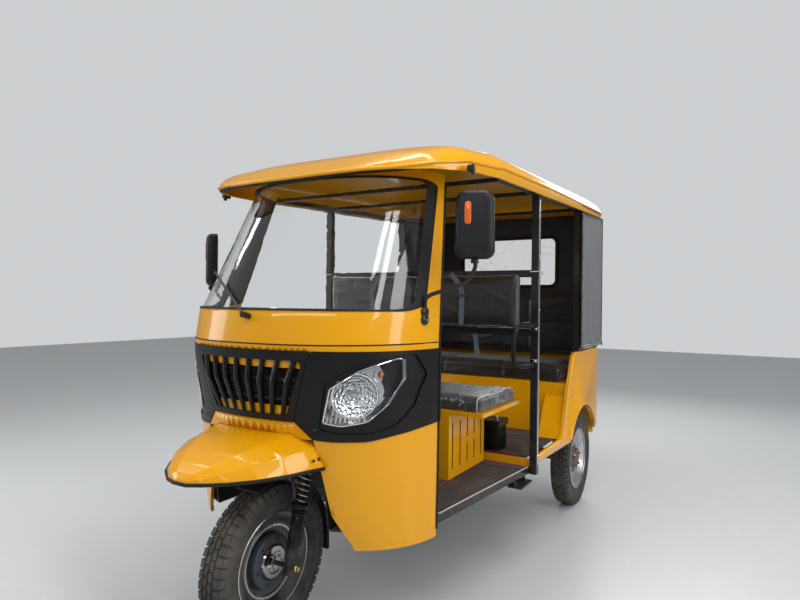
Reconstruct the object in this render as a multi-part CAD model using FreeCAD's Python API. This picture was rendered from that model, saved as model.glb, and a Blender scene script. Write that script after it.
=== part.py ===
import FreeCAD, Part
import math
import os

V = FreeCAD.Vector

# Overall sizes, in millimetres: the vehicle faces -Y, its left side is +X, and Y starts at the front axle
wheelbase = 2095.0
overall_length = 2940.0
nose_reach = 392.0
track_rear = 1112.0
tyre_radius = 281.0
tyre_width = 104.0
rim_radius = 166.0
floor_height = 440.0
rear_floor_step = 40.0
cab_half_width = 525.0
door_edge_y = 340.0
seam_height = 1085.0
body_half_width = 632.0
body_rear_y = 2450.0
waist_height = 946.0
roof_half_width = 650.0
roof_front_y = 78.0
roof_rear_y = 2520.0
roof_edge_height = 1722.0
roof_slope_share = 0.038
roof_crown = 137.0
pillar_x = 604.0
pillar_y = 1170.0
rear_post_x = 590.0
rear_post_y = 2010.0
bench_front_y = 1790.0
steer_rake_deg = 15.0
steer_trail = 32.0

# Walls, gaps and overruns that many pieces share
skin_wall = 14.0
sheet_wall = 6.0
glass_wall = 5.0
panel_gap = 1.0
seat_gap = 0.3
overrun = 30.0
rail_tube = 34.0
frame_rail = 50.0

# Places that follow from the sizes above
front_axle_place = nose_reach - overall_length / 2
axle_height = tyre_radius
rear_floor_height = floor_height + rear_floor_step
rail_top = floor_height - sheet_wall
rear_wheel_x = track_rear / 2
rake = math.radians(steer_rake_deg)
across = V(1, 0, 0)
along = V(0, 1, 0)
upward = V(0, 0, 1)
origin = V(0, 0, 0)
steer_way = V(0, math.sin(rake), math.cos(rake))


# Ways of making shapes that many pieces share
def box(x0, x1, y0, y1, z0, z1):
    return Part.makeBox(x1 - x0, y1 - y0, z1 - z0, V(x0, y0, z0))


def rod(start, end, radius):
    run = end - start
    return Part.makeCylinder(radius, run.Length, start, run)


def bent_tube(points, radius):
    # Straight runs of round bar with a ball at each bend
    runs = [rod(a, b, radius) for a, b in zip(points, points[1:])]
    balls = [Part.makeSphere(radius, p) for p in points[1:-1]]
    return runs + balls


def fuse(shapes):
    whole = shapes[0]
    if len(shapes) > 1:
        whole = whole.multiFuse(shapes[1:])
    return whole.removeSplitter()


def mirrored(shape):
    return shape.mirror(origin, across)


def both_sides(shape):
    return Part.makeCompound([shape, mirrored(shape)])


def rounded_wire(points, radii):
    # A closed outline of straight runs with a round corner at each point
    count = len(points)
    starts = []
    ends = []
    middles = []
    for i in range(count):
        here = points[i]
        if radii[i] == 0:
            starts.append(here)
            ends.append(here)
            middles.append(here)
            continue
        back = (points[i - 1] - here).normalize()
        ahead = (points[(i + 1) % count] - here).normalize()
        half = back.getAngle(ahead) / 2
        reach = radii[i] / math.tan(half)
        centre_way = (back + ahead).normalize()
        centre = here + centre_way * (radii[i] / math.sin(half))
        starts.append(here + back * reach)
        ends.append(here + ahead * reach)
        middles.append(centre - centre_way * radii[i])
    edges = []
    for i in range(count):
        if radii[i] > 0:
            edges.append(Part.Arc(starts[i], middles[i], ends[i]).toShape())
        following = starts[(i + 1) % count]
        if (following - ends[i]).Length > 0:
            edges.append(Part.LineSegment(ends[i], following).toShape())
    return Part.Wire(Part.__sortEdges__(edges))


def prism(points, radii, way):
    return Part.Face(rounded_wire(points, radii)).extrude(way)


def sharp_prism(points, way):
    return prism(points, [0] * len(points), way)


def turned(outline, y):
    # An outline of (x, radius) places turned about a wheel axis
    points = [V(x, y, axle_height + radius) for x, radius in outline]
    face = Part.Face(Part.makePolygon(points + points[:1]))
    return face.revolve(V(0, y, axle_height), across, 360)


def padded(x0, x1, y0, y1, z0, z1, radius):
    block = box(x0, x1, y0, y1, z0, z1)
    return block.makeFillet(radius, block.Edges)


# The cab front is one curved skin. Each station gives its height, how far its front stands ahead
# of the front axle, its half width and the place of the door edge, as shares of the sizes below
cab_power = 2.4
cab_depth = 145.0
cab_corner_share = 1.2
curve_steps = 5
station_shares = [
    (0.345, 0.14, 1.010, 0.94),
    (0.461, 0.34, 1.010, 0.95),
    (0.700, 0.60, 1.005, 0.98),
    (0.880, 0.87, 1.000, 1.00),
    (1.000, 1.00, 0.996, 1.02),
    (1.100, 0.84, 0.998, 1.03),
    (1.610, -1.36, 0.864, 1.53),
]
lower_stations = [0, 1, 2, 3, 4]
scuttle_stations = [4, 5]
screen_stations = [5, 6]


def cab_station(index):
    height, front, half, edge = station_shares[index]
    return seam_height * height, -cab_depth * front, cab_half_width * half, door_edge_y * edge


def cab_measures(z):
    # The front, half width and door edge at any height, between the stations
    stations = [cab_station(i) for i in range(len(station_shares))]
    for low, high in zip(stations, stations[1:]):
        if z <= high[0]:
            break
    part = (z - low[0]) / (high[0] - low[0])
    return [a + (b - a) * part for a, b in zip(low[1:], high[1:])]


def cab_frame(front, half, edge):
    depth = (edge - front) * cab_corner_share
    last_turn = math.acos((1 - 1 / cab_corner_share) ** (cab_power / 2))
    return depth, half / math.sin(last_turn) ** (2 / cab_power), last_turn


def cab_x_at(y, z):
    front, half, edge = cab_measures(z)
    depth, full, _ = cab_frame(front, half, edge)
    return full * (1 - (1 - (y - front) / depth) ** cab_power) ** (1 / cab_power)


def cab_y_at(x, z):
    front, half, edge = cab_measures(z)
    depth, full, _ = cab_frame(front, half, edge)
    return front + depth * (1 - (1 - (abs(x) / full) ** cab_power) ** (1 / cab_power))


def cab_curve(z, front, half, edge, inset):
    # A level superellipse from door edge to door edge, with its two ends
    depth, full, last_turn = cab_frame(front + inset, half - inset, edge)
    points = []
    for i in range(-curve_steps, curve_steps + 1):
        turn = last_turn * i / curve_steps
        side = abs(math.sin(turn)) ** (2 / cab_power)
        deep = abs(math.cos(turn)) ** (2 / cab_power)
        points.append(V(math.copysign(side, i) * full, front + inset + depth * (1 - deep), z))
    points[curve_steps] = V(0, front + inset, z)
    curve = Part.BSplineCurve()
    curve.interpolate(points)
    return curve.toShape(), points[0], points[-1]


def cab_section(index, inset, tail):
    # One level cut of the cab, closed behind, or drawn on behind by a tail
    curve, start, end = cab_curve(*cab_station(index), inset)
    edges = [curve]
    if tail > 0:
        far_start = start + along * tail
        far_end = end + along * tail
        edges.append(Part.LineSegment(end, far_end).toShape())
        edges.append(Part.LineSegment(far_end, far_start).toShape())
        edges.append(Part.LineSegment(far_start, start).toShape())
    else:
        edges.append(Part.LineSegment(end, start).toShape())
    return Part.Wire(edges)


def cab_block(stations, inset, tail):
    sections = [cab_section(i, inset, tail) for i in stations]
    return Part.makeLoft(sections, True, len(stations) == 2)


def cab_skin(stations, proud, wall):
    outer = cab_block(stations, -proud, 0)
    inner = cab_block(stations, wall - proud, overrun)
    return outer.cut(inner)


# Outlines on the cab front, as shares of the cab's half width and of the seam height
grille_shares = [(0.507, 0.982), (0.362, 0.758)]
slot_field_shares = [(0.462, 0.952), (0.318, 0.777)]
vent_shares = [(0.450, 0.928), (0.335, 0.806)]
lamp_panel_shares = [(0.511, 0.982), (1.080, 0.979), (1.080, 0.745), (0.940, 0.718), (0.780, 0.698),
                     (0.600, 0.698), (0.478, 0.703), (0.366, 0.758)]
lamp_dish_shares = [(0.520, 0.736), (0.582, 0.884), (0.760, 0.945), (0.960, 0.974), (0.990, 0.900),
                    (0.960, 0.800), (0.900, 0.738), (0.780, 0.722), (0.640, 0.722)]
headlamp_shares = [(0.542, 0.756), (0.597, 0.866), (0.760, 0.926), (0.926, 0.962), (0.928, 0.890),
                   (0.872, 0.808), (0.785, 0.757), (0.650, 0.745)]
screen_shares = [(0.972, 1.106), (0.862, 1.575)]
wheel_gap_shares = [(0.478, 0.703), (0.560, 0.460), (0.660, 0.370), (0.720, 0.270)]
panel_corner = 6.0
field_corner = 16.0
lamp_corners = [8.0, 12.0, 90.0, 6.0, 40.0, 60.0, 50.0, 60.0]
dish_corners = [14.0, 20.0, 90.0, 14.0, 60.0, 60.0, 60.0, 60.0, 60.0]
lamp_panel_corners = [6.0, 6.0, 6.0, 60.0, 60.0, 60.0, 20.0, 6.0]
screen_corner = 30.0
seal_width = 17.0
seal_proud = 4.0
pocket_depth = 10.0
dish_depth = 6.0
lamp_proud = 6.0
lamp_depth = 60.0


def on_cab(shares):
    return [(cab_half_width * x, seam_height * z) for x, z in shares]


def front_prism(outline, radii, margin=0):
    # An outline of (x, z) places, grown by a margin and pushed through the cab front
    count = len(outline)
    centre_x = sum(x for x, z in outline) / count
    centre_z = sum(z for x, z in outline) / count
    points = []
    for x, z in outline:
        reach = math.hypot(x - centre_x, z - centre_z)
        grow = (reach + margin) / reach
        points.append(V(centre_x + (x - centre_x) * grow, -nose_reach, centre_z + (z - centre_z) * grow))
    return prism(points, radii, along * (nose_reach + door_edge_y * 2))


def symmetric_prism(shares, corner, margin=0):
    half = on_cab(shares)
    outline = half + [(-x, z) for x, z in reversed(half)]
    return front_prism(outline, [corner] * len(outline), margin)


def side_prism(shares, radii, margin=0):
    return front_prism(on_cab(shares), radii, margin)


def grille_opening(margin=0):
    return symmetric_prism(grille_shares, panel_corner, margin)


def cowl_lower():
    # The yellow skin, with a shallow pocket and a vent behind the grille
    skin = cab_skin(lower_stations, 0, skin_wall)
    pocket = cab_skin(lower_stations, pocket_depth, pocket_depth * 2).common(grille_opening(panel_gap))
    vent = symmetric_prism(vent_shares, field_corner)
    panel = side_prism(lamp_panel_shares, lamp_panel_corners, panel_gap)
    wheel_gap = symmetric_prism(wheel_gap_shares, panel_corner)
    for piece in (pocket, vent, panel, mirrored(panel), wheel_gap, mudguard_block(-panel_gap, panel_gap)):
        skin = skin.cut(piece)
    return skin


def screen_opening(margin):
    return symmetric_prism(screen_shares, screen_corner, margin)


def cowl_upper():
    frame = cab_skin(screen_stations, 0, skin_wall).cut(screen_opening(0)).cut(over_roof())
    return fuse([cab_skin(scuttle_stations, 0, skin_wall), frame])


def windscreen():
    return cab_skin(screen_stations, -skin_wall / 2, glass_wall).common(screen_opening(-seal_width))


def windscreen_seal():
    ring = cab_skin(screen_stations, seal_proud, skin_wall + seal_proud * 2)
    return ring.common(screen_opening(-panel_gap)).cut(screen_opening(-seal_width + panel_gap))


# The grille: a moulded frame let into the skin, with keeled slats that lean together and bulge
# forward to a knee, tied by two curved bars behind them
slat_count = 8
slat_top_width = 22.0
slat_foot_width = 15.0
slat_depth = 6.5
slat_bulge = 14.0
slat_knee_share = 0.60
slat_keel_share = 0.45
bar_shares = [0.30, 0.66]
bar_height = 9.0
bar_wall = 5.0


def slat_section(x, z, width, bulge):
    # One level cut of a slat: a flat back, two sides and a keel
    face = cab_y_at(x, z) - seal_proud / 2
    half = width / 2
    keel = slat_depth * slat_keel_share
    corners = [V(x - half, face + slat_depth, z), V(x - half, face + keel - bulge, z), V(x, face - bulge, z),
               V(x + half, face + keel - bulge, z), V(x + half, face + slat_depth, z)]
    return Part.makePolygon(corners + corners[:1])


def slat(index):
    place = 2 * (index + 0.5) / slat_count - 1
    (top_half, top_z), (foot_half, foot_z) = on_cab(slot_field_shares)
    top_z += panel_corner
    foot_z -= panel_corner
    levels = [(1, 0), (slat_knee_share, slat_bulge), (0, 0)]
    sections = []
    for share, bulge in levels:
        x = place * (foot_half + (top_half - foot_half) * share)
        width = slat_foot_width + (slat_top_width - slat_foot_width) * share
        sections.append(slat_section(x, foot_z + (top_z - foot_z) * share, width, bulge))
    return Part.makeLoft(sections, True, True)


def grille_bar(share):
    (top_half, top_z), (foot_half, foot_z) = on_cab(slot_field_shares)
    z = foot_z + (top_z - foot_z) * share
    half = foot_half + (top_half - foot_half) * share + panel_corner
    band = box(-half, half, -nose_reach, door_edge_y, z - bar_height / 2, z + bar_height / 2)
    return cab_skin(lower_stations, -seal_proud / 2, bar_wall).common(band)


def grille_panel():
    wall = seal_proud + pocket_depth - seat_gap
    frame = cab_skin(lower_stations, seal_proud, wall).common(grille_opening())
    frame = frame.cut(symmetric_prism(slot_field_shares, field_corner))
    slats = [slat(i) for i in range(slat_count)]
    bars = [grille_bar(share) for share in bar_shares]
    return fuse([frame] + bars + slats)


def lamp_panels():
    # Each panel wraps round the corner and has a dish pressed in round its lamp
    panel = cab_skin(lower_stations, seal_proud, skin_wall + seal_proud)
    panel = panel.common(side_prism(lamp_panel_shares, lamp_panel_corners))
    dish = cab_skin(lower_stations, pocket_depth, pocket_depth + dish_depth - seal_proud)
    dish = dish.common(side_prism(lamp_dish_shares, dish_corners))
    return both_sides(panel.cut(dish).cut(side_prism(headlamp_shares, lamp_corners)))


def headlamps():
    lamp = cab_skin(lower_stations, lamp_proud, lamp_depth + lamp_proud)
    return both_sides(lamp.common(side_prism(headlamp_shares, lamp_corners, -panel_gap)))


# The mudguard ahead of the cab. Each section gives its way to the nose, then its side, ridge,
# height and dip as shares of the sizes at its rear edge
mudguard_rear_y = -20.0
mudguard_side_half = 279.0
mudguard_ridge_half = 172.0
mudguard_ridge_height = 777.0
mudguard_side_height = 666.0
mudguard_wall = 5.0
mudguard_bevel_share = 0.74
mudguard_bevel_rise_share = 0.62
mudguard_shares = [
    (0.00, 1.000, 1.00, 1.00, 0.00),
    (0.17, 0.985, 1.02, 1.00, 0.00),
    (0.42, 0.890, 0.86, 0.84, 0.00),
    (0.66, 0.720, 0.62, 0.62, -0.01),
    (0.84, 0.500, 0.40, 0.42, -0.03),
    (0.95, 0.280, 0.20, 0.27, -0.05),
    (1.00, 0.100, 0.07, 0.16, -0.08),
]


def mudguard_block(inset, drop):
    rise = mudguard_ridge_height - mudguard_side_height
    reach = nose_reach + mudguard_rear_y
    sections = []
    for way, side, ridge, height, dip in mudguard_shares:
        y = mudguard_rear_y - (reach - inset) * way
        half = max(mudguard_side_half * side - inset, mudguard_wall)
        ridge_half = max(mudguard_ridge_half * ridge - inset, mudguard_wall / 2)
        bevel_half = ridge_half + (half - ridge_half) * mudguard_bevel_share
        base = mudguard_side_height + rise * dip - drop
        shoulder = base + mudguard_wall
        top = mudguard_side_height + rise * (dip + height) - inset
        bevel_top = shoulder + (top - shoulder) * mudguard_bevel_rise_share
        right = [V(ridge_half, y, top), V(bevel_half, y, bevel_top), V(half, y, shoulder), V(half, y, base)]
        left = [V(-p.x, p.y, p.z) for p in reversed(right)]
        sections.append(Part.makePolygon(left + right + left[:1]))
    return Part.makeLoft(sections, True, True)


def front_mudguard():
    outer = mudguard_block(0, 0)
    inner = mudguard_block(mudguard_wall, mudguard_wall)
    behind = box(-body_half_width, body_half_width, mudguard_rear_y - mudguard_wall,
                 mudguard_rear_y + overrun, 0, seam_height)
    return outer.cut(inner).cut(behind)


# The steering column and the front wheel's housing between the driver's feet
steer_column_length = 860.0
stem_radius = 15.0
head_tube_radius = 30.0
head_tube_low_share = 0.49
head_tube_high_share = 0.66
housing_half = 272.0
housing_rear_y = 372.0
housing_top = 742.0
housing_bevel = 180.0


def steer_point(share):
    return V(0, steer_trail, axle_height) + steer_way * (steer_column_length * share)


def housing_block(inset, drop, front):
    half = housing_half - inset
    rear = housing_rear_y - inset
    top = housing_top - inset
    points = [V(-half, front, floor_height - drop), V(-half, rear, floor_height - drop),
              V(-half, rear, top - housing_bevel), V(-half, rear - housing_bevel, top), V(-half, front, top)]
    return sharp_prism(points, across * half * 2)


def front_wheel_housing():
    shell = housing_block(0, 0, 0).cut(housing_block(sheet_wall, overrun, -overrun))
    shell = shell.common(cab_block(lower_stations, skin_wall + seat_gap, housing_rear_y))
    return shell.cut(rod(steer_point(0), steer_point(1), head_tube_radius + seat_gap))


# The ladder frame under the floor, with the head tube that carries the fork
rail_centre = 300.0
cross_shares = [0.165, 0.40, 0.62, 0.82, 0.962]
gusset = 70.0


def chassis_frame():
    low = rail_top - frame_rail
    half = frame_rail / 2
    front = housing_rear_y + seat_gap
    pieces = []
    for side in (-1, 1):
        x = side * rail_centre
        pieces.append(box(x - half, x + half, front, body_rear_y - overrun, low, rail_top))
    for share in cross_shares:
        y = body_rear_y * share
        pieces.append(box(-rail_centre, rail_centre, y, y + frame_rail, low, rail_top))
    head_high = steer_point(head_tube_high_share)
    spine_top = head_high.z - head_tube_radius
    pieces.append(box(-gusset / 2, gusset / 2, front, front + frame_rail, low, spine_top))
    pieces.append(box(-gusset / 2, gusset / 2, head_high.y, front + frame_rail, housing_top + seat_gap, spine_top))
    pieces.append(rod(steer_point(head_tube_low_share), head_high, head_tube_radius))
    return fuse(pieces).cut(rod(steer_point(0), steer_point(1), stem_radius + seat_gap))


# Floors: the driver's, level with the sill, and the passengers', one step higher with a foot mat
sill_half = 590.0
sill_depth = 30.0
mat_half = 320.0
mat_front_y = 1400.0
mat_rear_y = 1630.0
mat_wall = 4.0


def sill_x(y):
    # The inner face of the sill runs outwards from the door edge to the pillar
    start = cab_half_width - skin_wall * 2
    end = sill_half - skin_wall
    return start + (end - start) * (y - door_edge_y) / (pillar_y - door_edge_y)


def front_floor():
    front, half, edge = cab_measures(rail_top)
    curve, start, end = cab_curve(rail_top, front, half, edge, skin_wall + seat_gap)
    right = [V(sill_x(y), y, rail_top) for y in (door_edge_y, pillar_y)]
    left = [V(-p.x, p.y, p.z) for p in reversed(right)]
    rest = Part.makePolygon([end] + right + left + [start])
    plate = Part.Face(Part.Wire([curve] + rest.Edges)).extrude(upward * sheet_wall)
    house_half = housing_half + seat_gap
    house = box(-house_half, house_half, -nose_reach, housing_rear_y + seat_gap, 0, seam_height)
    spine_half = gusset / 2 + seat_gap
    spine = box(-spine_half, spine_half, 0, housing_rear_y + frame_rail + seat_gap * 2, 0, seam_height)
    return plate.cut(house).cut(spine)


def rear_floor():
    half = sill_half - skin_wall - seat_gap
    front = pillar_y + seat_gap
    pieces = [box(-half, half, front, bench_front_y, rear_floor_height - sheet_wall, rear_floor_height),
              box(-half, half, front, front + sheet_wall, rail_top, rear_floor_height),
              box(-mat_half, mat_half, mat_front_y, mat_rear_y, rear_floor_height - sheet_wall,
                  rear_floor_height + mat_wall)]
    for side in (-1, 1):
        x = side * rail_centre
        pieces.append(box(x - frame_rail / 2, x + frame_rail / 2, pillar_y + frame_rail,
                          bench_front_y - frame_rail, rail_top, rear_floor_height - sheet_wall / 2))
    return fuse(pieces)


# The edge member under each doorway, from the door edge to the rear body, with a low step
step_reach = 70.0
step_length = 150.0
step_drop = 30.0
step_wall = 8.0


def sills():
    front = door_edge_y + seat_gap
    rear = pillar_y + sill_depth
    low = floor_height - sill_depth
    points = [V(sill_x(front) + seat_gap, front, low), V(cab_half_width, front, low),
              V(sill_half + skin_wall, rear, low), V(sill_x(rear) + seat_gap, rear, low)]
    pieces = [sharp_prism(points, upward * sill_depth)]
    tread_rear = pillar_y - overrun
    tread_front = tread_rear - step_length
    tread_low = low - step_drop
    pieces.append(box(sill_half - step_reach / 2, sill_half + step_reach / 2, tread_front, tread_rear,
                      tread_low, tread_low + step_wall))
    for y in (tread_front + skin_wall, tread_rear - skin_wall):
        pieces.append(rod(V(sill_half - skin_wall, y, low + skin_wall),
                          V(sill_half, y, tread_low + step_wall / 2), step_wall))
    return both_sides(fuse(pieces))


# The driver's seat: a board over a base with slotted sides, a cushion and a hung back pad
base_half = 368.0
base_front_y = 752.0
base_rear_y = 1152.0
board_half = 530.0
board_rear_y = 1206.0
board_top = 752.0
board_wall = 18.0
cushion_height = 62.0
slot_count = 5
slot_width = 12.0
slot_height = 210.0
slot_bridge = 26.0
bridged_slots = (2, 3)
backrest_low = 1100.0
backrest_high = 1384.0
backrest_wall = 60.0


def seat_slot(y, z):
    half = slot_width / 2
    reach = slot_height / 2
    corner = half - seat_gap
    points = [V(-board_half, y - half, z - reach), V(-board_half, y + half, z - reach),
              V(-board_half, y + half, z + reach), V(-board_half, y - half, z + reach)]
    return prism(points, [corner] * len(points), across * board_half * 2)


def seat_base():
    top = board_top - board_wall
    outer = box(-base_half, base_half, base_front_y, base_rear_y, floor_height, top)
    inner = box(-base_half + sheet_wall, base_half - sheet_wall, base_front_y + sheet_wall,
                base_rear_y - sheet_wall, floor_height - overrun, top)
    shell = outer.cut(inner)
    pitch = (base_rear_y - base_front_y) / slot_count
    middle = (floor_height + top) / 2
    for i in range(slot_count):
        y = base_front_y + pitch * (i + 0.5)
        slot = seat_slot(y, middle)
        if i in bridged_slots:
            slot = slot.cut(box(-board_half, board_half, y - slot_width, y + slot_width,
                                middle - slot_bridge / 2, middle + slot_bridge / 2))
        shell = shell.cut(slot)
    board = box(-board_half, board_half, base_front_y, board_rear_y, top, board_top)
    return fuse([shell, board])


def driver_cushion():
    return padded(-board_half, board_half, base_front_y, board_rear_y, board_top + seat_gap,
                  board_top + cushion_height, cushion_height / 4)


def driver_backrest():
    half = pillar_x - rail_tube
    rear = pillar_y - rail_tube / 2 - seat_gap
    return padded(-half, half, rear - backrest_wall, rear, backrest_low, backrest_high, backrest_wall / 4)


# The battery stands on the passengers' floor, behind the driver's seat
battery_width = 180.0
battery_depth = 122.0
battery_height = 150.0
battery_side_x = 420.0
battery_lip = 6.0


def battery_box():
    low = rear_floor_height + seat_gap
    front = board_rear_y
    case = box(battery_side_x - battery_width, battery_side_x, front, front + battery_depth, low,
               low + battery_height - battery_lip * 4)
    lid = box(battery_side_x - battery_width - battery_lip, battery_side_x + battery_lip, front - battery_lip,
              front + battery_depth + battery_lip, low + battery_height - battery_lip * 4, low + battery_height)
    return fuse([case, lid])


# The roof: an arched shell drawn in to a visor ahead and to round corners behind. Each section
# gives its way along the roof, then its width, height and dip as shares
roof_wall = 9.0
roof_power = 4.4
roof_shares = [
    (0.000, 0.300, 0.105, -0.16),
    (0.008, 0.520, 0.150, -0.14),
    (0.030, 0.675, 0.300, -0.10),
    (0.070, 0.830, 0.580, -0.05),
    (0.130, 0.945, 0.880, -0.01),
    (0.220, 1.000, 1.000, 0.00),
    (0.540, 1.000, 1.000, 0.00),
    (0.860, 1.000, 0.970, 0.00),
    (0.940, 0.995, 0.880, 0.00),
    (0.980, 0.980, 0.740, 0.00),
    (1.000, 0.945, 0.520, 0.00),
]


def roof_edge_at(y):
    return roof_edge_height + roof_slope_share * (y - door_edge_y)


def roof_section(index, inset, foot_drop):
    way, width, height, dip = roof_shares[index]
    y = roof_front_y + inset + (roof_rear_y - roof_front_y - inset * 2) * way
    base = roof_edge_at(y) + roof_crown * dip
    half = roof_half_width * width - inset
    crown = roof_crown * height - inset
    points = []
    for i in range(-curve_steps, curve_steps + 1):
        turn = math.pi / 2 * i / curve_steps
        side = abs(math.sin(turn)) ** (2 / roof_power)
        lift = abs(math.cos(turn)) ** (2 / roof_power)
        points.append(V(math.copysign(side, i) * half, y, base + crown * lift))
    points[curve_steps] = V(0, y, base + crown)
    points[0] = V(-half, y, base)
    points[-1] = V(half, y, base)
    curve = Part.BSplineCurve()
    curve.interpolate(points)
    edges = [curve.toShape()]
    if foot_drop > 0:
        foot_right = V(half, y, base - foot_drop)
        foot_left = V(-half, y, base - foot_drop)
        edges.append(Part.LineSegment(points[-1], foot_right).toShape())
        edges.append(Part.LineSegment(foot_right, foot_left).toShape())
        edges.append(Part.LineSegment(foot_left, points[0]).toShape())
    else:
        edges.append(Part.LineSegment(points[-1], points[0]).toShape())
    return Part.Wire(edges)


def roof_block(inset, foot_drop):
    sections = [roof_section(i, inset, foot_drop) for i in range(len(roof_shares))]
    return Part.makeLoft(sections, True, True)


def roof():
    return roof_block(0, 0).cut(roof_block(roof_wall, roof_wall))


def over_roof():
    # The space that pieces under the roof are cut back to
    block = box(-roof_half_width * 2, roof_half_width * 2, roof_front_y, roof_rear_y * 2,
                roof_edge_height - roof_crown / 2, roof_edge_height + roof_crown * 2)
    return block.cut(roof_block(roof_wall + seat_gap, roof_crown * 2))


# The tubes that carry the roof: rails and bows under it, pillars and rear posts below
roof_rail_radius = 13.0
roof_rail_rise = 14.0
roof_bow_radius = 10.0
rail_height = 1376.0
lower_rail_height = 1092.0


def roof_frame():
    front = door_edge_y * 2
    rear = body_rear_y - sheet_wall - panel_gap
    x = rear_post_x + rail_tube / 2
    pieces = []
    for side in (-1, 1):
        pieces.append(rod(V(side * x, front, roof_edge_at(front) + roof_rail_rise),
                          V(side * x, rear, roof_edge_at(rear) + roof_rail_rise), roof_rail_radius))
    for y in (front + rail_tube, pillar_y, rear_post_y - rail_tube / 2, rear - rail_tube):
        z = roof_edge_at(y) + roof_rail_rise
        pieces.append(rod(V(-x, y, z), V(x, y, z), roof_bow_radius))
    return fuse(pieces)


def pillars():
    # The posts beside the passengers' doorway, tied by two rails behind the driver
    foot = floor_height - sill_depth
    top = roof_edge_at(pillar_y) + roof_rail_rise - roof_rail_radius - panel_gap
    half = rail_tube / 2
    front = pillar_y - half
    rear = pillar_y + half
    posts = [box(pillar_x, pillar_x + rail_tube, front, rear, foot, top),
             box(-pillar_x - rail_tube, -pillar_x, front, rear, foot, top)]
    ties = [box(-pillar_x, pillar_x, front, rear, z - half, z + half) for z in (rail_height, lower_rail_height)]
    sill_reach = sill_half + skin_wall + seat_gap
    sill_space = box(-sill_reach, sill_reach, 0, pillar_y + sill_depth * 2, 0, floor_height)
    return fuse(posts + ties).cut(sill_space).cut(over_roof())


def rear_posts():
    # The posts beside the bench and at the rear corners
    foot = waist_height + seat_gap
    rear = body_rear_y - sheet_wall - seat_gap
    posts = []
    for y in (rear_post_y, rear):
        posts.append(box(rear_post_x, rear_post_x + rail_tube, y - rail_tube, y, foot,
                         roof_edge_at(y) + rail_tube / 2))
    return both_sides(Part.makeCompound(posts).cut(over_roof()).cut(roof_frame()))


# The grab handle on each pillar, turned in towards the doorway
handle_low = 935.0
handle_high = 1130.0
handle_reach = 170.0
handle_radius = 9.0
handle_turn_deg = 15.0
handle_drop_share = 0.21


def grab_handles():
    root = V(pillar_x + rail_tube / 2, pillar_y - rail_tube / 2 - seat_gap, 0)
    turn = math.radians(handle_turn_deg)
    way = V(-math.sin(turn), -math.cos(turn), 0)
    drop = handle_reach * handle_drop_share
    stub = handle_radius * 3
    places = [(0, handle_low), (stub, handle_low), (handle_reach, handle_low + drop),
              (handle_reach, handle_high - drop * 1.5), (stub * 2, handle_high), (0, handle_high)]
    points = [root + way * reach + upward * z for reach, z in places]
    points[0] = V(root.x, root.y, handle_low)
    points[-1] = V(root.x, root.y, handle_high)
    ahead = box(0, body_half_width, 0, root.y, 0, seam_height * 2)
    return both_sides(fuse(bent_tube(points, handle_radius)).common(ahead))


# The rear body: bevelled sides with lipped wheel arches, and a back panel with a plate's seat
side_wall = 24.0
side_round = 8.0
arch_radius = 330.0
arch_lip = 20.0
arch_lip_proud = 6.0
panel_low = 375.0
plate_half = 170.0
plate_height = 200.0
plate_rise = 8.0
plate_drop = 150.0
side_shares = [(0.487, 0.478), (0.487, 0.516), (0.6755, 0.516), (0.708, 0.729), (0.760, 1.000), (1.000, 1.000),
               (1.000, 0.440)]
side_corners = [4.0, 14.0, 60.0, 80.0, 70.0, 26.0, 14.0]


def arch(radius, x0, x1):
    return Part.makeCylinder(radius, x1 - x0, V(x0, wheelbase, axle_height), across)


def rear_side():
    x0 = body_half_width - side_wall
    points = [V(x0, body_rear_y * y, waist_height * z) for y, z in side_shares]
    panel = prism(points, side_corners, across * side_wall)
    edges = [e for e in panel.Edges if e.BoundBox.XMin > body_half_width - seat_gap]
    panel = panel.makeFillet(side_round, edges)
    lip = arch(arch_radius + arch_lip, body_half_width - side_round, body_half_width + arch_lip_proud)
    above = box(0, body_half_width * 2, 0, body_rear_y, waist_height * side_shares[0][1], waist_height)
    panel = fuse([panel, lip.common(above)])
    return panel.cut(arch(arch_radius, 0, body_half_width * 2))


def rear_body():
    x0 = body_half_width - side_wall
    side = rear_side()
    back = box(-x0, x0, body_rear_y - side_wall, body_rear_y, panel_low, waist_height - overrun)
    plate_top = waist_height - plate_drop
    plate = box(-plate_half, plate_half, body_rear_y - side_wall / 2, body_rear_y + plate_rise,
                plate_top - plate_height, plate_top)
    return fuse([side, mirrored(side), back, plate])


# Inside the rear body: the bench and the slanted boxes over the wheels
box_inner_half = 486.0
box_front_y = 1650.0
box_step_y = 1782.0
box_top = 700.0
bench_drop = 174.0
bench_back_wall = 90.0
bench_cushion_height = 90.0
bench_back_high = 1330.0
bench_height = waist_height - bench_drop
bench_pad_y = body_rear_y - side_wall - seat_gap - bench_back_wall


def wheel_box():
    # A closed box in side view, open below, that slants up from the floor to the bench
    half = body_half_width - side_wall - seat_gap
    rear = body_rear_y - side_wall - seat_gap
    outline = [(box_front_y, rear_floor_height), (box_step_y, box_top), (rear, box_top)]
    points = [V(box_inner_half, y, z) for y, z in outline]
    lower = [V(p.x, p.y, p.z - sheet_wall) for p in reversed(points)]
    lower[-1] = V(box_inner_half, box_front_y + sheet_wall, rear_floor_height)
    skin = sharp_prism(points + lower, across * (half - box_inner_half))
    cheek = sharp_prism(points + [V(box_inner_half, rear, floor_height),
                                  V(box_inner_half, bench_front_y, floor_height),
                                  V(box_inner_half, bench_front_y, rear_floor_height)], across * sheet_wall)
    return fuse([skin, cheek])


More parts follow.
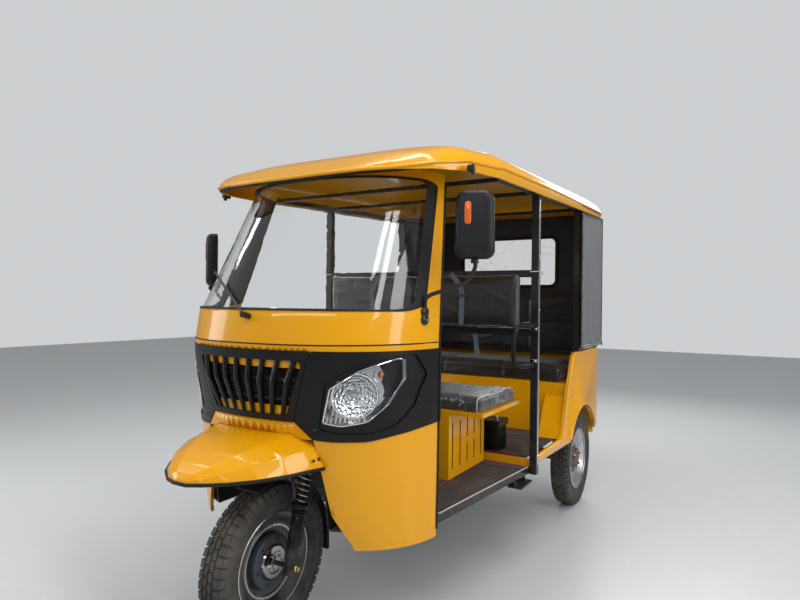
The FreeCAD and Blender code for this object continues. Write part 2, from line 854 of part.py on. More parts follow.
def bench_base():
    half = body_half_width - side_wall - seat_gap
    front = bench_front_y + seat_gap
    riser = box(-half, half, front, front + sheet_wall, rear_floor_height, bench_height)
    top = box(-half, half, front, bench_pad_y, bench_height - sheet_wall, bench_height)
    side = wheel_box()
    posts = [box(min(s * box_inner_half, s * (box_inner_half + sheet_wall)),
                 max(s * box_inner_half, s * (box_inner_half + sheet_wall)),
                 front, bench_pad_y, box_top - sheet_wall, bench_height) for s in (-1, 1)]
    return fuse([riser, top, side, mirrored(side)] + posts)


def bench_cushion():
    half = body_half_width - side_wall * 2
    return padded(-half, half, bench_front_y, bench_pad_y - backrest_wall, bench_height + seat_gap,
                  bench_height + bench_cushion_height, bench_cushion_height / 4)


def bench_backrest():
    half = rear_post_x - seat_gap
    return padded(-half, half, bench_pad_y, bench_pad_y + bench_back_wall,
                  bench_height + bench_cushion_height, bench_back_high, backrest_wall / 4)


# The upper back wall with its window, and the curtains at the sides
window_half = 352.0
window_low = 1350.0
window_high = 1690.0
window_corner = 45.0
curtain_wall = 10.0
curtain_front_y = 1990.0
curtain_rear_y = 2535.0
curtain_lift = 17.0


def window_prism(margin):
    y = body_rear_y - side_wall * 2
    half = window_half - margin
    points = [V(-half, y, window_low + margin), V(half, y, window_low + margin),
              V(half, y, window_high - margin), V(-half, y, window_high - margin)]
    return prism(points, [window_corner - margin] * len(points), along * side_wall * 4)


def rear_wall():
    wall = box(-body_half_width, body_half_width, body_rear_y - sheet_wall, body_rear_y + sheet_wall,
               waist_height + seat_gap, roof_edge_at(body_rear_y) + rail_tube / 2)
    return wall.cut(window_prism(0)).cut(over_roof())


def rear_window():
    pane = box(-window_half, window_half, body_rear_y - glass_wall / 2, body_rear_y + glass_wall / 2,
               window_low, window_high)
    return pane.common(window_prism(seat_gap))


def side_curtains():
    x = body_half_width + seat_gap
    low = waist_height + curtain_lift
    points = [V(x, curtain_front_y, low), V(x, curtain_rear_y, low),
              V(x, curtain_rear_y, roof_edge_at(curtain_rear_y) - seat_gap),
              V(x, curtain_front_y, roof_edge_at(curtain_front_y) - seat_gap)]
    return both_sides(sharp_prism(points, across * curtain_wall))


# Tail lamps and bumper
tail_lamp_x = 520.0
tail_lamp_drop = 186.0
tail_lamp_width = 90.0
tail_lamp_height = 190.0
tail_lamp_depth = 28.0
tail_lamp_round = 9.0
bumper_radius = 22.0
bumper_arm_radius = 15.0
bumper_height = 440.0
bumper_half = 560.0


def tail_lamps():
    z = waist_height - tail_lamp_drop
    y = body_rear_y + seat_gap
    lamp = box(tail_lamp_x - tail_lamp_width / 2, tail_lamp_x + tail_lamp_width / 2, y, y + tail_lamp_depth,
               z - tail_lamp_height / 2, z + tail_lamp_height / 2)
    edges = [e for e in lamp.Edges if e.CenterOfMass.y > y + tail_lamp_depth / 4]
    return both_sides(lamp.makeFillet(tail_lamp_round, edges))


def rear_bumper():
    y = overall_length - nose_reach - bumper_radius
    pieces = [rod(V(-bumper_half, y, bumper_height), V(bumper_half, y, bumper_height), bumper_radius)]
    for side in (-1, 1):
        pieces.append(Part.makeSphere(bumper_radius, V(side * bumper_half, y, bumper_height)))
        x = side * rail_centre
        pieces.append(rod(V(x, body_rear_y + seat_gap, bumper_height), V(x, y, bumper_height), bumper_arm_radius))
    return fuse(pieces)


# Each mirror's shell hangs on a bent arm from the corner of the cowl. The two are set differently
mirror_x = 672.0
mirror_y = 322.0
mirror_width = 150.0
mirror_height = 248.0
mirror_depth = 55.0
mirror_round = 22.0
near_mirror_height = 1512.0
near_mirror_turn_deg = 22.0
far_mirror_height = 1418.0
far_mirror_turn_deg = 41.0
arm_radius = 8.0
arm_foot_y = 250.0
arm_foot_height = 1186.0
arm_way_shares = [(0.05, 0.00, 0.30), (0.42, 0.50, 0.44), (0.75, 1.00, 0.56), (1.00, 1.00, 0.80)]


def mirror(height, turn_deg):
    shell = box(-mirror_width / 2, mirror_width / 2, -mirror_depth / 2, mirror_depth / 2,
                -mirror_height / 2, mirror_height / 2)
    shell = shell.makeFillet(mirror_round, [e for e in shell.Edges if e.CenterOfMass.y < 0])
    shell.rotate(origin, upward, turn_deg)
    shell.translate(V(mirror_x, mirror_y, height))
    plate_reach = arm_radius * 3
    foot_x = cab_x_at(arm_foot_y + plate_reach, arm_foot_height) + arm_radius + panel_gap
    foot = V(foot_x, arm_foot_y, arm_foot_height)
    top = V(mirror_x, mirror_y, height - mirror_height / 2 + arm_radius)
    span = top - foot
    bends = [foot + V(span.x * x, span.y * y, span.z * z) for x, y, z in arm_way_shares]
    plate = box(foot_x - arm_radius, foot_x + arm_radius, arm_foot_y - plate_reach, arm_foot_y + plate_reach,
                arm_foot_height - arm_radius * 2, arm_foot_height + arm_radius * 2)
    return fuse([shell, plate] + bent_tube([foot] + bends + [top], arm_radius))


def mirrors():
    near = mirror(near_mirror_height, near_mirror_turn_deg)
    far = mirrored(mirror(far_mirror_height, far_mirror_turn_deg))
    return Part.makeCompound([near, far])


# The wiper stands on the cowl below the windscreen and leans to the vehicle's right
wiper_x = 20.0
wiper_height = 1178.0
wiper_reach = 330.0
wiper_lean_deg = 62.0
wiper_rod = 7.0
wiper_arm_rod = 4.7
wiper_hub = 10.5
wiper_stand = 28.0
blade_half = 130.0


def off_screen(point):
    return V(point.x, cab_y_at(point.x, point.z) - wiper_stand, point.z)


def wiper():
    lean = math.radians(wiper_lean_deg)
    low, high = cab_station(scuttle_stations[0]), cab_station(scuttle_stations[1])
    out = V(0, low[0] - high[0], high[1] - low[1]).normalize()
    foot = V(wiper_x, cab_y_at(wiper_x, wiper_height), wiper_height) + out * seat_gap
    pivot = foot + out * wiper_stand
    tip = off_screen(pivot + V(-math.sin(lean), 0, math.cos(lean)) * wiper_reach)
    blade = [off_screen(tip - upward * blade_half), tip, off_screen(tip + upward * blade_half)]
    hub = rod(foot, pivot + out * wiper_rod, wiper_hub)
    return fuse([hub, rod(pivot, tip, wiper_arm_rod)] + bent_tube(blade, wiper_rod))


# The dashboard: a shelf behind the cowl, with a box for the instruments
dash_half = 120.0
dash_wall = 12.0
dash_height = 48.0
dash_front_share = 0.1
dash_rear_share = 0.5


def dashboard():
    low = seam_height + seat_gap
    rear = door_edge_y * dash_rear_share
    shelf = box(-cab_half_width, cab_half_width, -cab_depth, rear, low, low + dash_wall)
    binnacle = box(-dash_half, dash_half, door_edge_y * dash_front_share, rear, low, low + dash_height)
    return fuse([shelf, binnacle]).common(cab_block(scuttle_stations, skin_wall + seat_gap, overrun))


# The rear axle is one turned beam with the differential's bowl in the middle and the pinion's neck
axle_radius = 32.0
bowl_radius = 105.0
bowl_half = 80.0
stub_radius = 16.0
hub_gap = 20.0
neck_radius = 42.0
neck_reach = 190.0


def rear_axle():
    inner_half = rear_wheel_x - tyre_width / 2 - hub_gap
    outer_half = rear_wheel_x + hub_gap
    half = [(0, bowl_radius), (bowl_half * 0.4, bowl_radius), (bowl_half, bowl_radius * 0.7),
            (bowl_half * 1.7, axle_radius), (inner_half, axle_radius), (inner_half, stub_radius),
            (outer_half, stub_radius), (outer_half, 0)]
    beam = turned(half + [(-x, radius) for x, radius in reversed(half[1:])], wheelbase)
    neck = rod(V(0, wheelbase - neck_reach, axle_height), V(0, wheelbase, axle_height), neck_radius)
    return fuse([beam, neck])


# Three curved leaves a side, each resting on the one below and all under the frame's rail
leaf_wall = 8.0
leaf_reach = 420.0
leaf_shares = [1.0, 0.72, 0.46]
leaf_base = axle_height + axle_radius + seat_gap
leaf_sag = rail_top - frame_rail - seat_gap - leaf_base - leaf_wall


def leaf_springs():
    x = rail_centre - frame_rail / 2
    bend_radius = (leaf_reach ** 2 + leaf_sag ** 2) / (2 * leaf_sag)
    centre = V(x, wheelbase, leaf_base + bend_radius)
    pieces = []
    for i, share in enumerate(leaf_shares):
        outer = bend_radius - leaf_wall * i
        ring = Part.makeCylinder(outer, frame_rail, centre, across)
        ring = ring.cut(Part.makeCylinder(outer - leaf_wall, frame_rail, centre, across))
        space = box(x, x + frame_rail, wheelbase - leaf_reach * share, wheelbase + leaf_reach * share,
                    leaf_base - overrun, rail_top - frame_rail - seat_gap)
        pieces.append(ring.common(space))
    return both_sides(fuse(pieces))


# The engine and gearbox, as one block hung from the frame ahead of the axle
engine_half = 180.0
engine_front_y = 1260.0
engine_rear_y = 1680.0
engine_low = 190.0


def engine_block():
    top = rail_top - frame_rail - seat_gap
    return box(-engine_half, engine_half, engine_front_y, engine_rear_y, engine_low, top)


# The fork and everything that turns with the handlebar
fork_half = 107.0
leg_radius = 17.0
spring_radius = 24.0
spring_low_share = 0.60
crown_share = 0.47
crown_wall = 26.0
crown_front = 27.0
crown_rear = 62.0
axle_pin_radius = 9.0
crown_rise = steer_column_length * crown_share - crown_wall


def fork():
    pieces = []
    for side in (-1, 1):
        foot = V(side * fork_half, 0, axle_height)
        pieces.append(rod(foot - steer_way * leg_radius, foot + steer_way * crown_rise, leg_radius))
    half = fork_half + spring_radius
    plate = box(-half, half, -crown_front, crown_rear, 0, crown_wall)
    plate.rotate(origin, across, -steer_rake_deg)
    plate.translate(V(0, 0, axle_height) + steer_way * crown_rise)
    pieces.append(plate)
    pieces.append(rod(V(-fork_half, 0, axle_height), V(fork_half, 0, axle_height), axle_pin_radius))
    pieces.append(rod(steer_point(crown_share) - steer_way * crown_wall, steer_point(1), stem_radius))
    return fuse(pieces)


def fork_springs():
    # Coil springs round the tops of the legs, as sleeves
    start = V(fork_half, 0, axle_height) + steer_way * (crown_rise * spring_low_share)
    length = crown_rise * (1 - spring_low_share) - seat_gap
    outer = Part.makeCylinder(spring_radius, length, start, steer_way)
    return both_sides(outer.cut(Part.makeCylinder(leg_radius + seat_gap, length, start, steer_way)))


guard_gap = 18.0
guard_wall = 4.0
guard_half = 54.0
guard_front_share = 0.35
guard_rear_share = 0.12
flap_length = 85.0
flap_wall = 12.0


def fork_guard():
    # An inner mudguard over the front tyre, ending in a flap behind it and hung on a cross stay
    inner = tyre_radius + guard_gap
    ring = Part.makeCylinder(inner + guard_wall, guard_half * 2, V(-guard_half, 0, axle_height), across)
    ring = ring.cut(Part.makeCylinder(inner, guard_half * 2, V(-guard_half, 0, axle_height), across))
    low = axle_height + tyre_radius * guard_rear_share
    reach = inner * 2
    ring = ring.cut(box(-guard_half, guard_half, -reach, reach, axle_height - reach, low))
    ring = ring.cut(box(-guard_half, guard_half, -reach, -inner * guard_front_share, 0, axle_height + reach))
    flap = box(-guard_half, guard_half, inner + guard_wall - flap_wall, inner + guard_wall, low - flap_length, low)
    stay_half = fork_half - spring_radius - seat_gap
    middle = V(0, 0, axle_height) + steer_way * (inner + guard_wall / 2)
    stay = rod(middle - across * stay_half, middle + across * stay_half, guard_wall)
    return fuse([ring, flap, stay])


bar_half = 330.0
bar_radius = 11.0
bar_pull = 190.0
bar_bend_share = 0.35
clamp_half = 33.0
clamp_depth = 22.0
clamp_height = 27.0


def handlebar():
    foot = steer_point(1) + upward * panel_gap
    centre = foot + upward * bar_radius
    pieces = []
    for side in (-1, 1):
        bend = centre + V(side * bar_half * bar_bend_share, bar_pull * bar_bend_share, 0)
        grip = centre + V(side * bar_half, bar_pull, 0)
        pieces += bent_tube([centre, bend, grip], bar_radius)
    clamp = box(-clamp_half, clamp_half, centre.y - clamp_depth, centre.y + clamp_depth, foot.z - bar_radius,
                foot.z + clamp_height)
    stem = rod(steer_point(crown_share), steer_point(1) + steer_way * seat_gap, stem_radius + seat_gap)
    return fuse(pieces + [clamp]).cut(stem)


# Wheels: a bevelled tyre on a drop-centre rim with a dished web and a drum
flange_reach = 14.0
rim_wall = 5.0
hub_radius = 62.0
hub_half = 44.0
tyre_half_shares = [(0.66, 0.00), (0.66, 0.12), (1.00, 0.52), (0.90, 0.86), (0.55, 1.00)]
rim_well_share = 0.86
well_half_share = 0.25
web_dish_share = 0.30


def mirrored_turn(half):
    return half + [(-x, radius) for x, radius in reversed(half)]


def tyre(x, y):
    half = tyre_width / 2
    bead = rim_radius + seat_gap
    right = [(half * w, bead + (tyre_radius - bead) * h) for w, h in tyre_half_shares]
    right[1] = (right[1][0], bead + flange_reach)
    return turned([(x + px, radius) for px, radius in mirrored_turn(right)], y)


def rim(x, y, outward, bore):
    half = tyre_width / 2
    lip = half * tyre_half_shares[0][0] + seat_gap
    well = rim_radius * rim_well_share
    well_half = half * well_half_share
    outer = [(well_half, well), (lip, rim_radius), (lip, rim_radius + flange_reach),
             (lip + rim_wall, rim_radius + flange_reach)]
    inner = [(lip + rim_wall, rim_radius - rim_wall), (well_half, well - rim_wall)]
    shape = mirrored_turn(list(reversed(outer)))
    shape += [(-px, radius) for px, radius in inner] + [(px, radius) for px, radius in reversed(inner)]
    barrel = turned([(x + px, radius) for px, radius in shape], y)
    dish = half * web_dish_share
    web = [(dish, well - rim_wall / 2), (0, hub_radius), (0, bore), (-hub_half, bore), (-hub_half, hub_radius),
           (-rim_wall, hub_radius), (dish - rim_wall * 2, well - rim_wall / 2)]
    return fuse([barrel, turned([(x + outward * px, radius) for px, radius in web], y)])


def write(name, shape):
    moved = shape.copy()
    moved.translate(along * front_axle_place)
    moved.exportStep("parts/" + name + ".step")
    print(name, len(shape.Solids), shape.isValid())


def main():
    os.makedirs("parts", exist_ok=True)
    single_pieces = [chassis_frame, front_floor, rear_floor, sills, front_wheel_housing, cowl_lower, cowl_upper,
                     grille_panel, lamp_panels, headlamps, front_mudguard, windscreen, windscreen_seal, wiper,
                     mirrors, dashboard, roof, roof_frame, pillars, rear_posts, driver_backrest,
                     driver_cushion, seat_base, battery_box, grab_handles, rear_body, bench_base,
                     bench_cushion, bench_backrest, rear_wall, rear_window, side_curtains, tail_lamps,
                     rear_bumper, rear_axle, leaf_springs, engine_block, fork, fork_springs, fork_guard,
                     handlebar]
    for make in single_pieces:
        write(make.__name__, make())
    wheels = [("front", "", 0, 0, 1, axle_pin_radius + seat_gap),
              ("rear", "_left", rear_wheel_x, wheelbase, 1, stub_radius + seat_gap),
              ("rear", "_right", -rear_wheel_x, wheelbase, -1, stub_radius + seat_gap)]
    for end, side, x, y, outward, bore in wheels:
        write(end + "_tyre" + side, tyre(x, y))
        write(end + "_rim" + side, rim(x, y, outward, bore))


main()
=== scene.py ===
# Auto rickshaw: finishes, seats, wheels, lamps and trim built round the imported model
import bpy
import bmesh
import math
from mathutils import Matrix, Vector, noise as wander
from mathutils.bvhtree import BVHTree
from mathutils.geometry import convex_hull_2d


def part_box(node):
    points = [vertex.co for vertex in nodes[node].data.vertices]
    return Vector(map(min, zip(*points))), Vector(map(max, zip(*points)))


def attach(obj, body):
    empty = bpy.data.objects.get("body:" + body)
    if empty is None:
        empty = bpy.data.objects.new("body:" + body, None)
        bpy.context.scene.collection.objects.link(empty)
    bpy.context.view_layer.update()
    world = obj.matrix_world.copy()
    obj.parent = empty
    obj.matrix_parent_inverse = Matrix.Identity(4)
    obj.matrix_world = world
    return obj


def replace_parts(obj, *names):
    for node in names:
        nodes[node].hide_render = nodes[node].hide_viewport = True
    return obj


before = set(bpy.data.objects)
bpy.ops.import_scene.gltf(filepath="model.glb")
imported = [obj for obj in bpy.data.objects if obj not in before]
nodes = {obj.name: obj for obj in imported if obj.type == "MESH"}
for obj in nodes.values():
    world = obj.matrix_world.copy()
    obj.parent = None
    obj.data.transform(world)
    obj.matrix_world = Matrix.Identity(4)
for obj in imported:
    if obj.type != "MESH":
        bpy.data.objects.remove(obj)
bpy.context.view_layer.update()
up = Vector((0, 0, 1))
print("frame loaded:", len(nodes), "nodes")


# Places that many pieces share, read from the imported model
def middle(node):
    low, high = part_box(node)
    return (low + high) / 2


frontAxle = middle("front_tyre")
steerRake = math.radians(15)
steerWay = Vector((0, math.sin(steerRake), math.cos(steerRake)))
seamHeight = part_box("cowl_upper")[0].z


def spot(x, y, z):
    # A place in metres, with y counted back from the front axle
    return Vector((x, frontAxle.y + y, z))


def surfaceOf(*names):
    verts, faces = [], []
    for name in names:
        start = len(verts)
        verts += [vertex.co.copy() for vertex in nodes[name].data.vertices]
        faces += [[start + i for i in face.vertices] for face in nodes[name].data.polygons]
    return BVHTree.FromPolygons(verts, faces)


cabSurface = surfaceOf("cowl_lower", "cowl_upper", "lamp_panels", "grille_panel", "headlamps")
wallSurface = surfaceOf("rear_wall")
cabFront = spot(0, -1.0, 0).y


def onCab(x, z, proud=0.0):
    # The place on the cab's front at this x and z, and the way it faces
    place, facing, _, _ = cabSurface.ray_cast(Vector((x, cabFront, z)), Vector((0, 1, 0)), 3.0)
    if facing.y > 0:
        facing = -facing
    return place + facing * proud, facing


def doorEdge(z, side):
    # The rear edge of the cab's side at this height, or None where there is none
    y = spot(0, 0.62, 0).y
    while y > cabFront:
        place, _, _, _ = cabSurface.ray_cast(Vector((side * 0.9, y, z)), Vector((-side, 0, 0)), 0.6)
        if place is not None:
            return place
        y -= 0.002


# Camera, floor and light
cameraLook = {
    "place": (1.531, -2.714, 1.238),
    "yaw": 30.791,      # degrees to the vehicle's right
    "pitch": 0.058,
    "roll": 0.652,
    "lens": 26.81,
    "sensor": 36.0,
}
lightLook = {
    "viewTransform": "Standard",
    "sky": (0.80, 0.82, 0.84),
    "skyStrength": 0.76,
    "glossShare": 0.34,
    "floor": (0.52, 0.53, 0.535),
    "floorHalf": 14.0,
}
softboxes = [
    # place, point looked at, width, length, power in watts
    ((0.6, -0.4, 4.4), (0.0, 0.0, 0.6), 0.35, 5.5, 55),
    ((-1.6, -0.4, 4.4), (0.0, 0.0, 0.6), 0.35, 5.5, 45),
    ((2.6, -1.2, 3.6), (0.2, 0.0, 0.8), 0.35, 5.5, 55),
    ((0.2, -4.6, 3.2), (0.0, -0.8, 0.8), 4.6, 0.30, 45),
    ((-3.9, -2.6, 2.2), (0.0, -0.4, 0.9), 1.4, 2.6, 50),
    ((4.6, -0.2, 2.4), (0.2, 0.2, 0.9), 1.0, 3.0, 60),
    ((0.0, 4.8, 3.0), (0.0, 0.6, 0.8), 3.4, 1.2, 80),
]


def makeCamera():
    yaw, pitch, roll = [math.radians(cameraLook[key]) for key in ("yaw", "pitch", "roll")]
    ahead = Vector((-math.sin(yaw) * math.cos(pitch), math.cos(yaw) * math.cos(pitch), math.sin(pitch)))
    right = ahead.cross(up).normalized()
    above = right.cross(ahead)
    turnedRight = right * math.cos(roll) + above * math.sin(roll)
    turnedUp = above * math.cos(roll) - right * math.sin(roll)
    data = bpy.data.cameras.new("camera")
    data.lens = cameraLook["lens"]
    data.sensor_width = cameraLook["sensor"]
    data.clip_start = 0.05
    data.clip_end = 200
    camera = bpy.data.objects.new("camera", data)
    camera.matrix_world = Matrix.Translation(cameraLook["place"]) @ Matrix(
        (turnedRight, turnedUp, -ahead)).transposed().to_4x4()
    bpy.context.scene.collection.objects.link(camera)
    bpy.context.scene.camera = camera


def makeLights():
    bpy.context.scene.view_settings.view_transform = lightLook["viewTransform"]
    world = bpy.data.worlds.new("studio")
    world.use_nodes = True
    sky = world.node_tree.nodes["Background"]
    sky.inputs["Color"].default_value = (*lightLook["sky"], 1)
    # Mirror-like reflections see a darker room, as between the strips of a lit hall
    path = addNode(world.node_tree, "ShaderNodeLightPath").outputs
    glossy = mathNode(world.node_tree, "SUBTRACT", path["Is Glossy Ray"], path["Transmission Depth"])
    strength = ramp(world.node_tree, glossy, 0.0, 1.0, lightLook["skyStrength"],
                    lightLook["skyStrength"] * lightLook["glossShare"])
    world.node_tree.links.new(strength, sky.inputs["Strength"])
    bpy.context.scene.world = world
    for i, (place, target, width, length, power) in enumerate(softboxes):
        data = bpy.data.lights.new("softbox%d" % i, "AREA")
        data.shape = "RECTANGLE"
        data.size = width
        data.size_y = length
        data.energy = power
        lamp = bpy.data.objects.new("softbox%d" % i, data)
        way = Vector(target) - Vector(place)
        lamp.matrix_world = Matrix.Translation(place) @ way.to_track_quat("-Z", "Y").to_matrix().to_4x4()
        bpy.context.scene.collection.objects.link(lamp)


# Materials: a small builder, then one recipe for each finish
def addNode(tree, kind, values=None, **settings):
    node = tree.nodes.new(kind)
    for name, value in settings.items():
        setattr(node, name, value)
    for key, value in (values or {}).items():
        node.inputs[key].default_value = value
    return node


def noise(tree, coords, scale, detail=3.0, roughness=0.5, stretch=(1, 1, 1)):
    mapping = addNode(tree, "ShaderNodeMapping", {"Scale": stretch})
    tree.links.new(coords, mapping.inputs["Vector"])
    node = addNode(tree, "ShaderNodeTexNoise", {"Scale": scale, "Detail": detail, "Roughness": roughness})
    tree.links.new(mapping.outputs["Vector"], node.inputs["Vector"])
    return node.outputs["Fac"]


def ramp(tree, value, low, high, toLow=0.0, toHigh=1.0):
    node = addNode(tree, "ShaderNodeMapRange", {"From Min": low, "From Max": high, "To Min": toLow, "To Max": toHigh})
    tree.links.new(value, node.inputs["Value"])
    return node.outputs["Result"]


def mixColors(tree, fac, first, second):
    node = addNode(tree, "ShaderNodeMix", data_type="RGBA")
    for value, key in ((fac, 0), (first, 6), (second, 7)):
        if isinstance(value, (tuple, list)):
            node.inputs[key].default_value = (*value, 1)
        else:
            tree.links.new(value, node.inputs[key])
    return node.outputs[2]


def mathNode(tree, operation, a, b=0.0):
    node = addNode(tree, "ShaderNodeMath", operation=operation)
    for i, value in enumerate((a, b)):
        if isinstance(value, (int, float)):
            node.inputs[i].default_value = value
        else:
            tree.links.new(value, node.inputs[i])
    return node.outputs[0]


def cellPattern(tree, coords, scale):
    node = addNode(tree, "ShaderNodeTexVoronoi", {"Scale": scale})
    tree.links.new(coords, node.inputs["Vector"])
    return node.outputs["Distance"]


def ridges(tree, value):
    # Sharp lines where a noise crosses its middle value
    return mathNode(tree, "ABSOLUTE", mathNode(tree, "SUBTRACT", value, 0.5))


def bump(tree, shader, height, strength, distance):
    node = addNode(tree, "ShaderNodeBump", {"Strength": strength, "Distance": distance})
    tree.links.new(height, node.inputs["Height"])
    tree.links.new(node.outputs["Normal"], shader.inputs["Normal"])


def startMaterial(name, color, roughness, **more):
    material = bpy.data.materials.new(name)
    material.use_nodes = True
    tree = material.node_tree
    shader = tree.nodes["Principled BSDF"]
    shader.inputs["Base Color"].default_value = (*color, 1)
    shader.inputs["Roughness"].default_value = roughness
    for key, value in more.items():
        shader.inputs[key.replace("_", " ")].default_value = value
    coords = addNode(tree, "ShaderNodeTexCoord").outputs["Object"]
    return material, tree, shader, coords


def paintMaterial(name, color, shade, dust, dustAmount, roughness=0.28, coat=0.7):
    # Sprayed enamel under a clear coat: slow colour drift, and road dust low down
    material, tree, shader, coords = startMaterial(name, color, roughness, Coat_Weight=coat, Coat_Roughness=0.05,
                                                   Specular_IOR_Level=0.20)
    drift = ramp(tree, noise(tree, coords, 1.6, 2), 0.35, 0.65)
    base = mixColors(tree, drift, color, shade)
    height = addNode(tree, "ShaderNodeSeparateXYZ")
    tree.links.new(coords, height.inputs[0])
    low = ramp(tree, height.outputs["Z"], 0.75, 0.30)
    speck = ramp(tree, noise(tree, coords, 26, 6, 0.65), 0.46, 0.72)
    amount = mathNode(tree, "MULTIPLY", mathNode(tree, "MULTIPLY", low, speck), dustAmount)
    tree.links.new(mixColors(tree, amount, base, dust), shader.inputs["Base Color"])
    rough = mathNode(tree, "ADD", mathNode(tree, "MULTIPLY", amount, 0.4), roughness)
    tree.links.new(rough, shader.inputs["Roughness"])
    return material


def plasticMaterial(name, color, roughness, grainScale, grainDepth, drift=0.25, coat=0.0):
    # Moulded plastic with a fine leather-like grain and slight scuffs
    material, tree, shader, coords = startMaterial(name, color, roughness, Coat_Weight=coat, Coat_Roughness=0.15,
                                                   Specular_IOR_Level=0.26)
    scuff = ramp(tree, noise(tree, coords, 14, 5, 0.7), 0.5, 0.75)
    pale = tuple(min(1, c * 1.6 + 0.012) for c in color)
    tree.links.new(mixColors(tree, mathNode(tree, "MULTIPLY", scuff, drift), color, pale), shader.inputs["Base Color"])
    rough = mathNode(tree, "ADD", mathNode(tree, "MULTIPLY", scuff, 0.12), roughness)
    tree.links.new(rough, shader.inputs["Roughness"])
    bump(tree, shader, cellPattern(tree, coords, grainScale), 0.25, grainDepth)
    return material


def metalMaterial(name, color, roughness, brush=(1, 1, 1), rust=None, rustAmount=0.0):
    material, tree, shader, coords = startMaterial(name, color, roughness, Metallic=1.0)
    streak = noise(tree, coords, 90, 4, 0.6, brush)
    base = mixColors(tree, ramp(tree, streak, 0.3, 0.7), color, tuple(c * 0.82 for c in color))
    if rust:
        spots = ramp(tree, noise(tree, coords, 22, 8, 0.72), 0.5, 0.66, 0.0, rustAmount)
        base = mixColors(tree, spots, base, rust)
        tree.links.new(ramp(tree, spots, 0, 1, 1.0, 0.1), shader.inputs["Metallic"])
        tree.links.new(ramp(tree, spots, 0, 1, roughness, 0.85), shader.inputs["Roughness"])
    else:
        tree.links.new(ramp(tree, streak, 0.2, 0.8, roughness * 0.8, roughness * 1.3), shader.inputs["Roughness"])
    tree.links.new(base, shader.inputs["Base Color"])
    bump(tree, shader, streak, 0.06, 0.0003)
    return material


def facetMaterial(name, color):
    # A pressed headlamp reflector: bright metal broken into small facets
    material, tree, shader, coords = startMaterial(name, color, 0.10, Metallic=1.0)
    bump(tree, shader, cellPattern(tree, coords, 70.0), 0.9, 0.006)
    return material


def tyreMaterial(name, color, dust):
    material, tree, shader, coords = startMaterial(name, color, 0.78)
    dirt = ramp(tree, noise(tree, coords, 9, 7, 0.68), 0.38, 0.68, 0.0, 0.75)
    tree.links.new(mixColors(tree, dirt, color, dust), shader.inputs["Base Color"])
    bump(tree, shader, noise(tree, coords, 260, 4, 0.7), 0.25, 0.0008)
    return material


def glassMaterial(name, color, roughness, ior=1.45):
    material, tree, shader, coords = startMaterial(name, color, roughness, Transmission_Weight=1.0, IOR=ior)
    smear = ramp(tree, noise(tree, coords, 5, 6, 0.7), 0.45, 0.8, roughness, roughness + 0.05)
    tree.links.new(smear, shader.inputs["Roughness"])
    return material


def vinylMaterial(name, color, creaseScale=7.0, creaseDepth=0.004, roughness=0.36):
    # Coated seat cloth: small pebble grain over soft wandering creases
    material, tree, shader, coords = startMaterial(name, color, roughness, Sheen_Weight=0.15, Specular_IOR_Level=0.55)
    pale = tuple(c * 1.5 + 0.003 for c in color)
    worn = ramp(tree, noise(tree, coords, 6, 5, 0.65), 0.42, 0.75, 0.0, 0.6)
    tree.links.new(mixColors(tree, worn, color, pale), shader.inputs["Base Color"])
    tree.links.new(ramp(tree, worn, 0, 1, roughness, roughness + 0.18), shader.inputs["Roughness"])
    crease = noise(tree, coords, creaseScale, 4, 0.55, (1, 1, 2.2))
    grain = mathNode(tree, "MULTIPLY", cellPattern(tree, coords, 900.0), 0.03)
    folds = ramp(tree, ridges(tree, crease), 0.0, 0.12)
    bump(tree, shader, mathNode(tree, "ADD", folds, grain), 0.55, creaseDepth)
    return material


def clothMaterial(name, color, threadScale, roughness=0.8):
    # Woven, coated canvas: two crossed waves make the weave
    material, tree, shader, coords = startMaterial(name, color, roughness, Sheen_Weight=0.25)
    height = None
    for direction in ("Y", "Z"):
        wave = addNode(tree, "ShaderNodeTexWave", {"Scale": threadScale, "Distortion": 0.6, "Detail": 1.0},
                       bands_direction=direction)
        tree.links.new(coords, wave.inputs["Vector"])
        height = wave.outputs["Fac"] if height is None else mathNode(tree, "MULTIPLY", height, wave.outputs["Fac"])
    fade = ramp(tree, noise(tree, coords, 3.5, 5, 0.6), 0.4, 0.7, 0.0, 0.7)
    tree.links.new(mixColors(tree, fade, color, tuple(c * 1.35 for c in color)), shader.inputs["Base Color"])
    bump(tree, shader, height, 0.35, 0.0008)
    return material


def matMaterial(name, color, worn, dust):
    # Ribbed floor mat with faint worn patches and dust in it
    material, tree, shader, coords = startMaterial(name, color, 0.7)
    wave = addNode(tree, "ShaderNodeTexWave", {"Scale": 26.0, "Distortion": 0.0}, bands_direction="X")
    tree.links.new(coords, wave.inputs["Vector"])
    patch = ramp(tree, noise(tree, coords, 4.5, 3, 0.5), 0.50, 0.62)
    base = mixColors(tree, patch, color, worn)
    amount = ramp(tree, noise(tree, coords, 12, 7, 0.7), 0.45, 0.75, 0.0, 0.5)
    tree.links.new(mixColors(tree, amount, base, dust), shader.inputs["Base Color"])
    bump(tree, shader, wave.outputs["Fac"], 0.5, 0.0015)
    return material


def filmMaterial(name, color, cover, creaseScale, crest):
    # Clear plastic film: mostly see-through, with bumped wandering creases drawn in the film's pale colour and more
    # opaque, partly real whitening of the folds and partly a painted highlight on them
    material, tree, shader, coords = startMaterial(name, color, 0.12, Specular_IOR_Level=0.8)
    ridge = ridges(tree, noise(tree, coords, creaseScale, 5, 0.6))
    # Pale film thickens along the creases: partly whitened folds, partly painted highlight
    tree.links.new(ramp(tree, ridge, 0.0, 0.014, crest, cover), shader.inputs["Alpha"])
    bump(tree, shader, ridge, 0.7, 0.004)
    return material


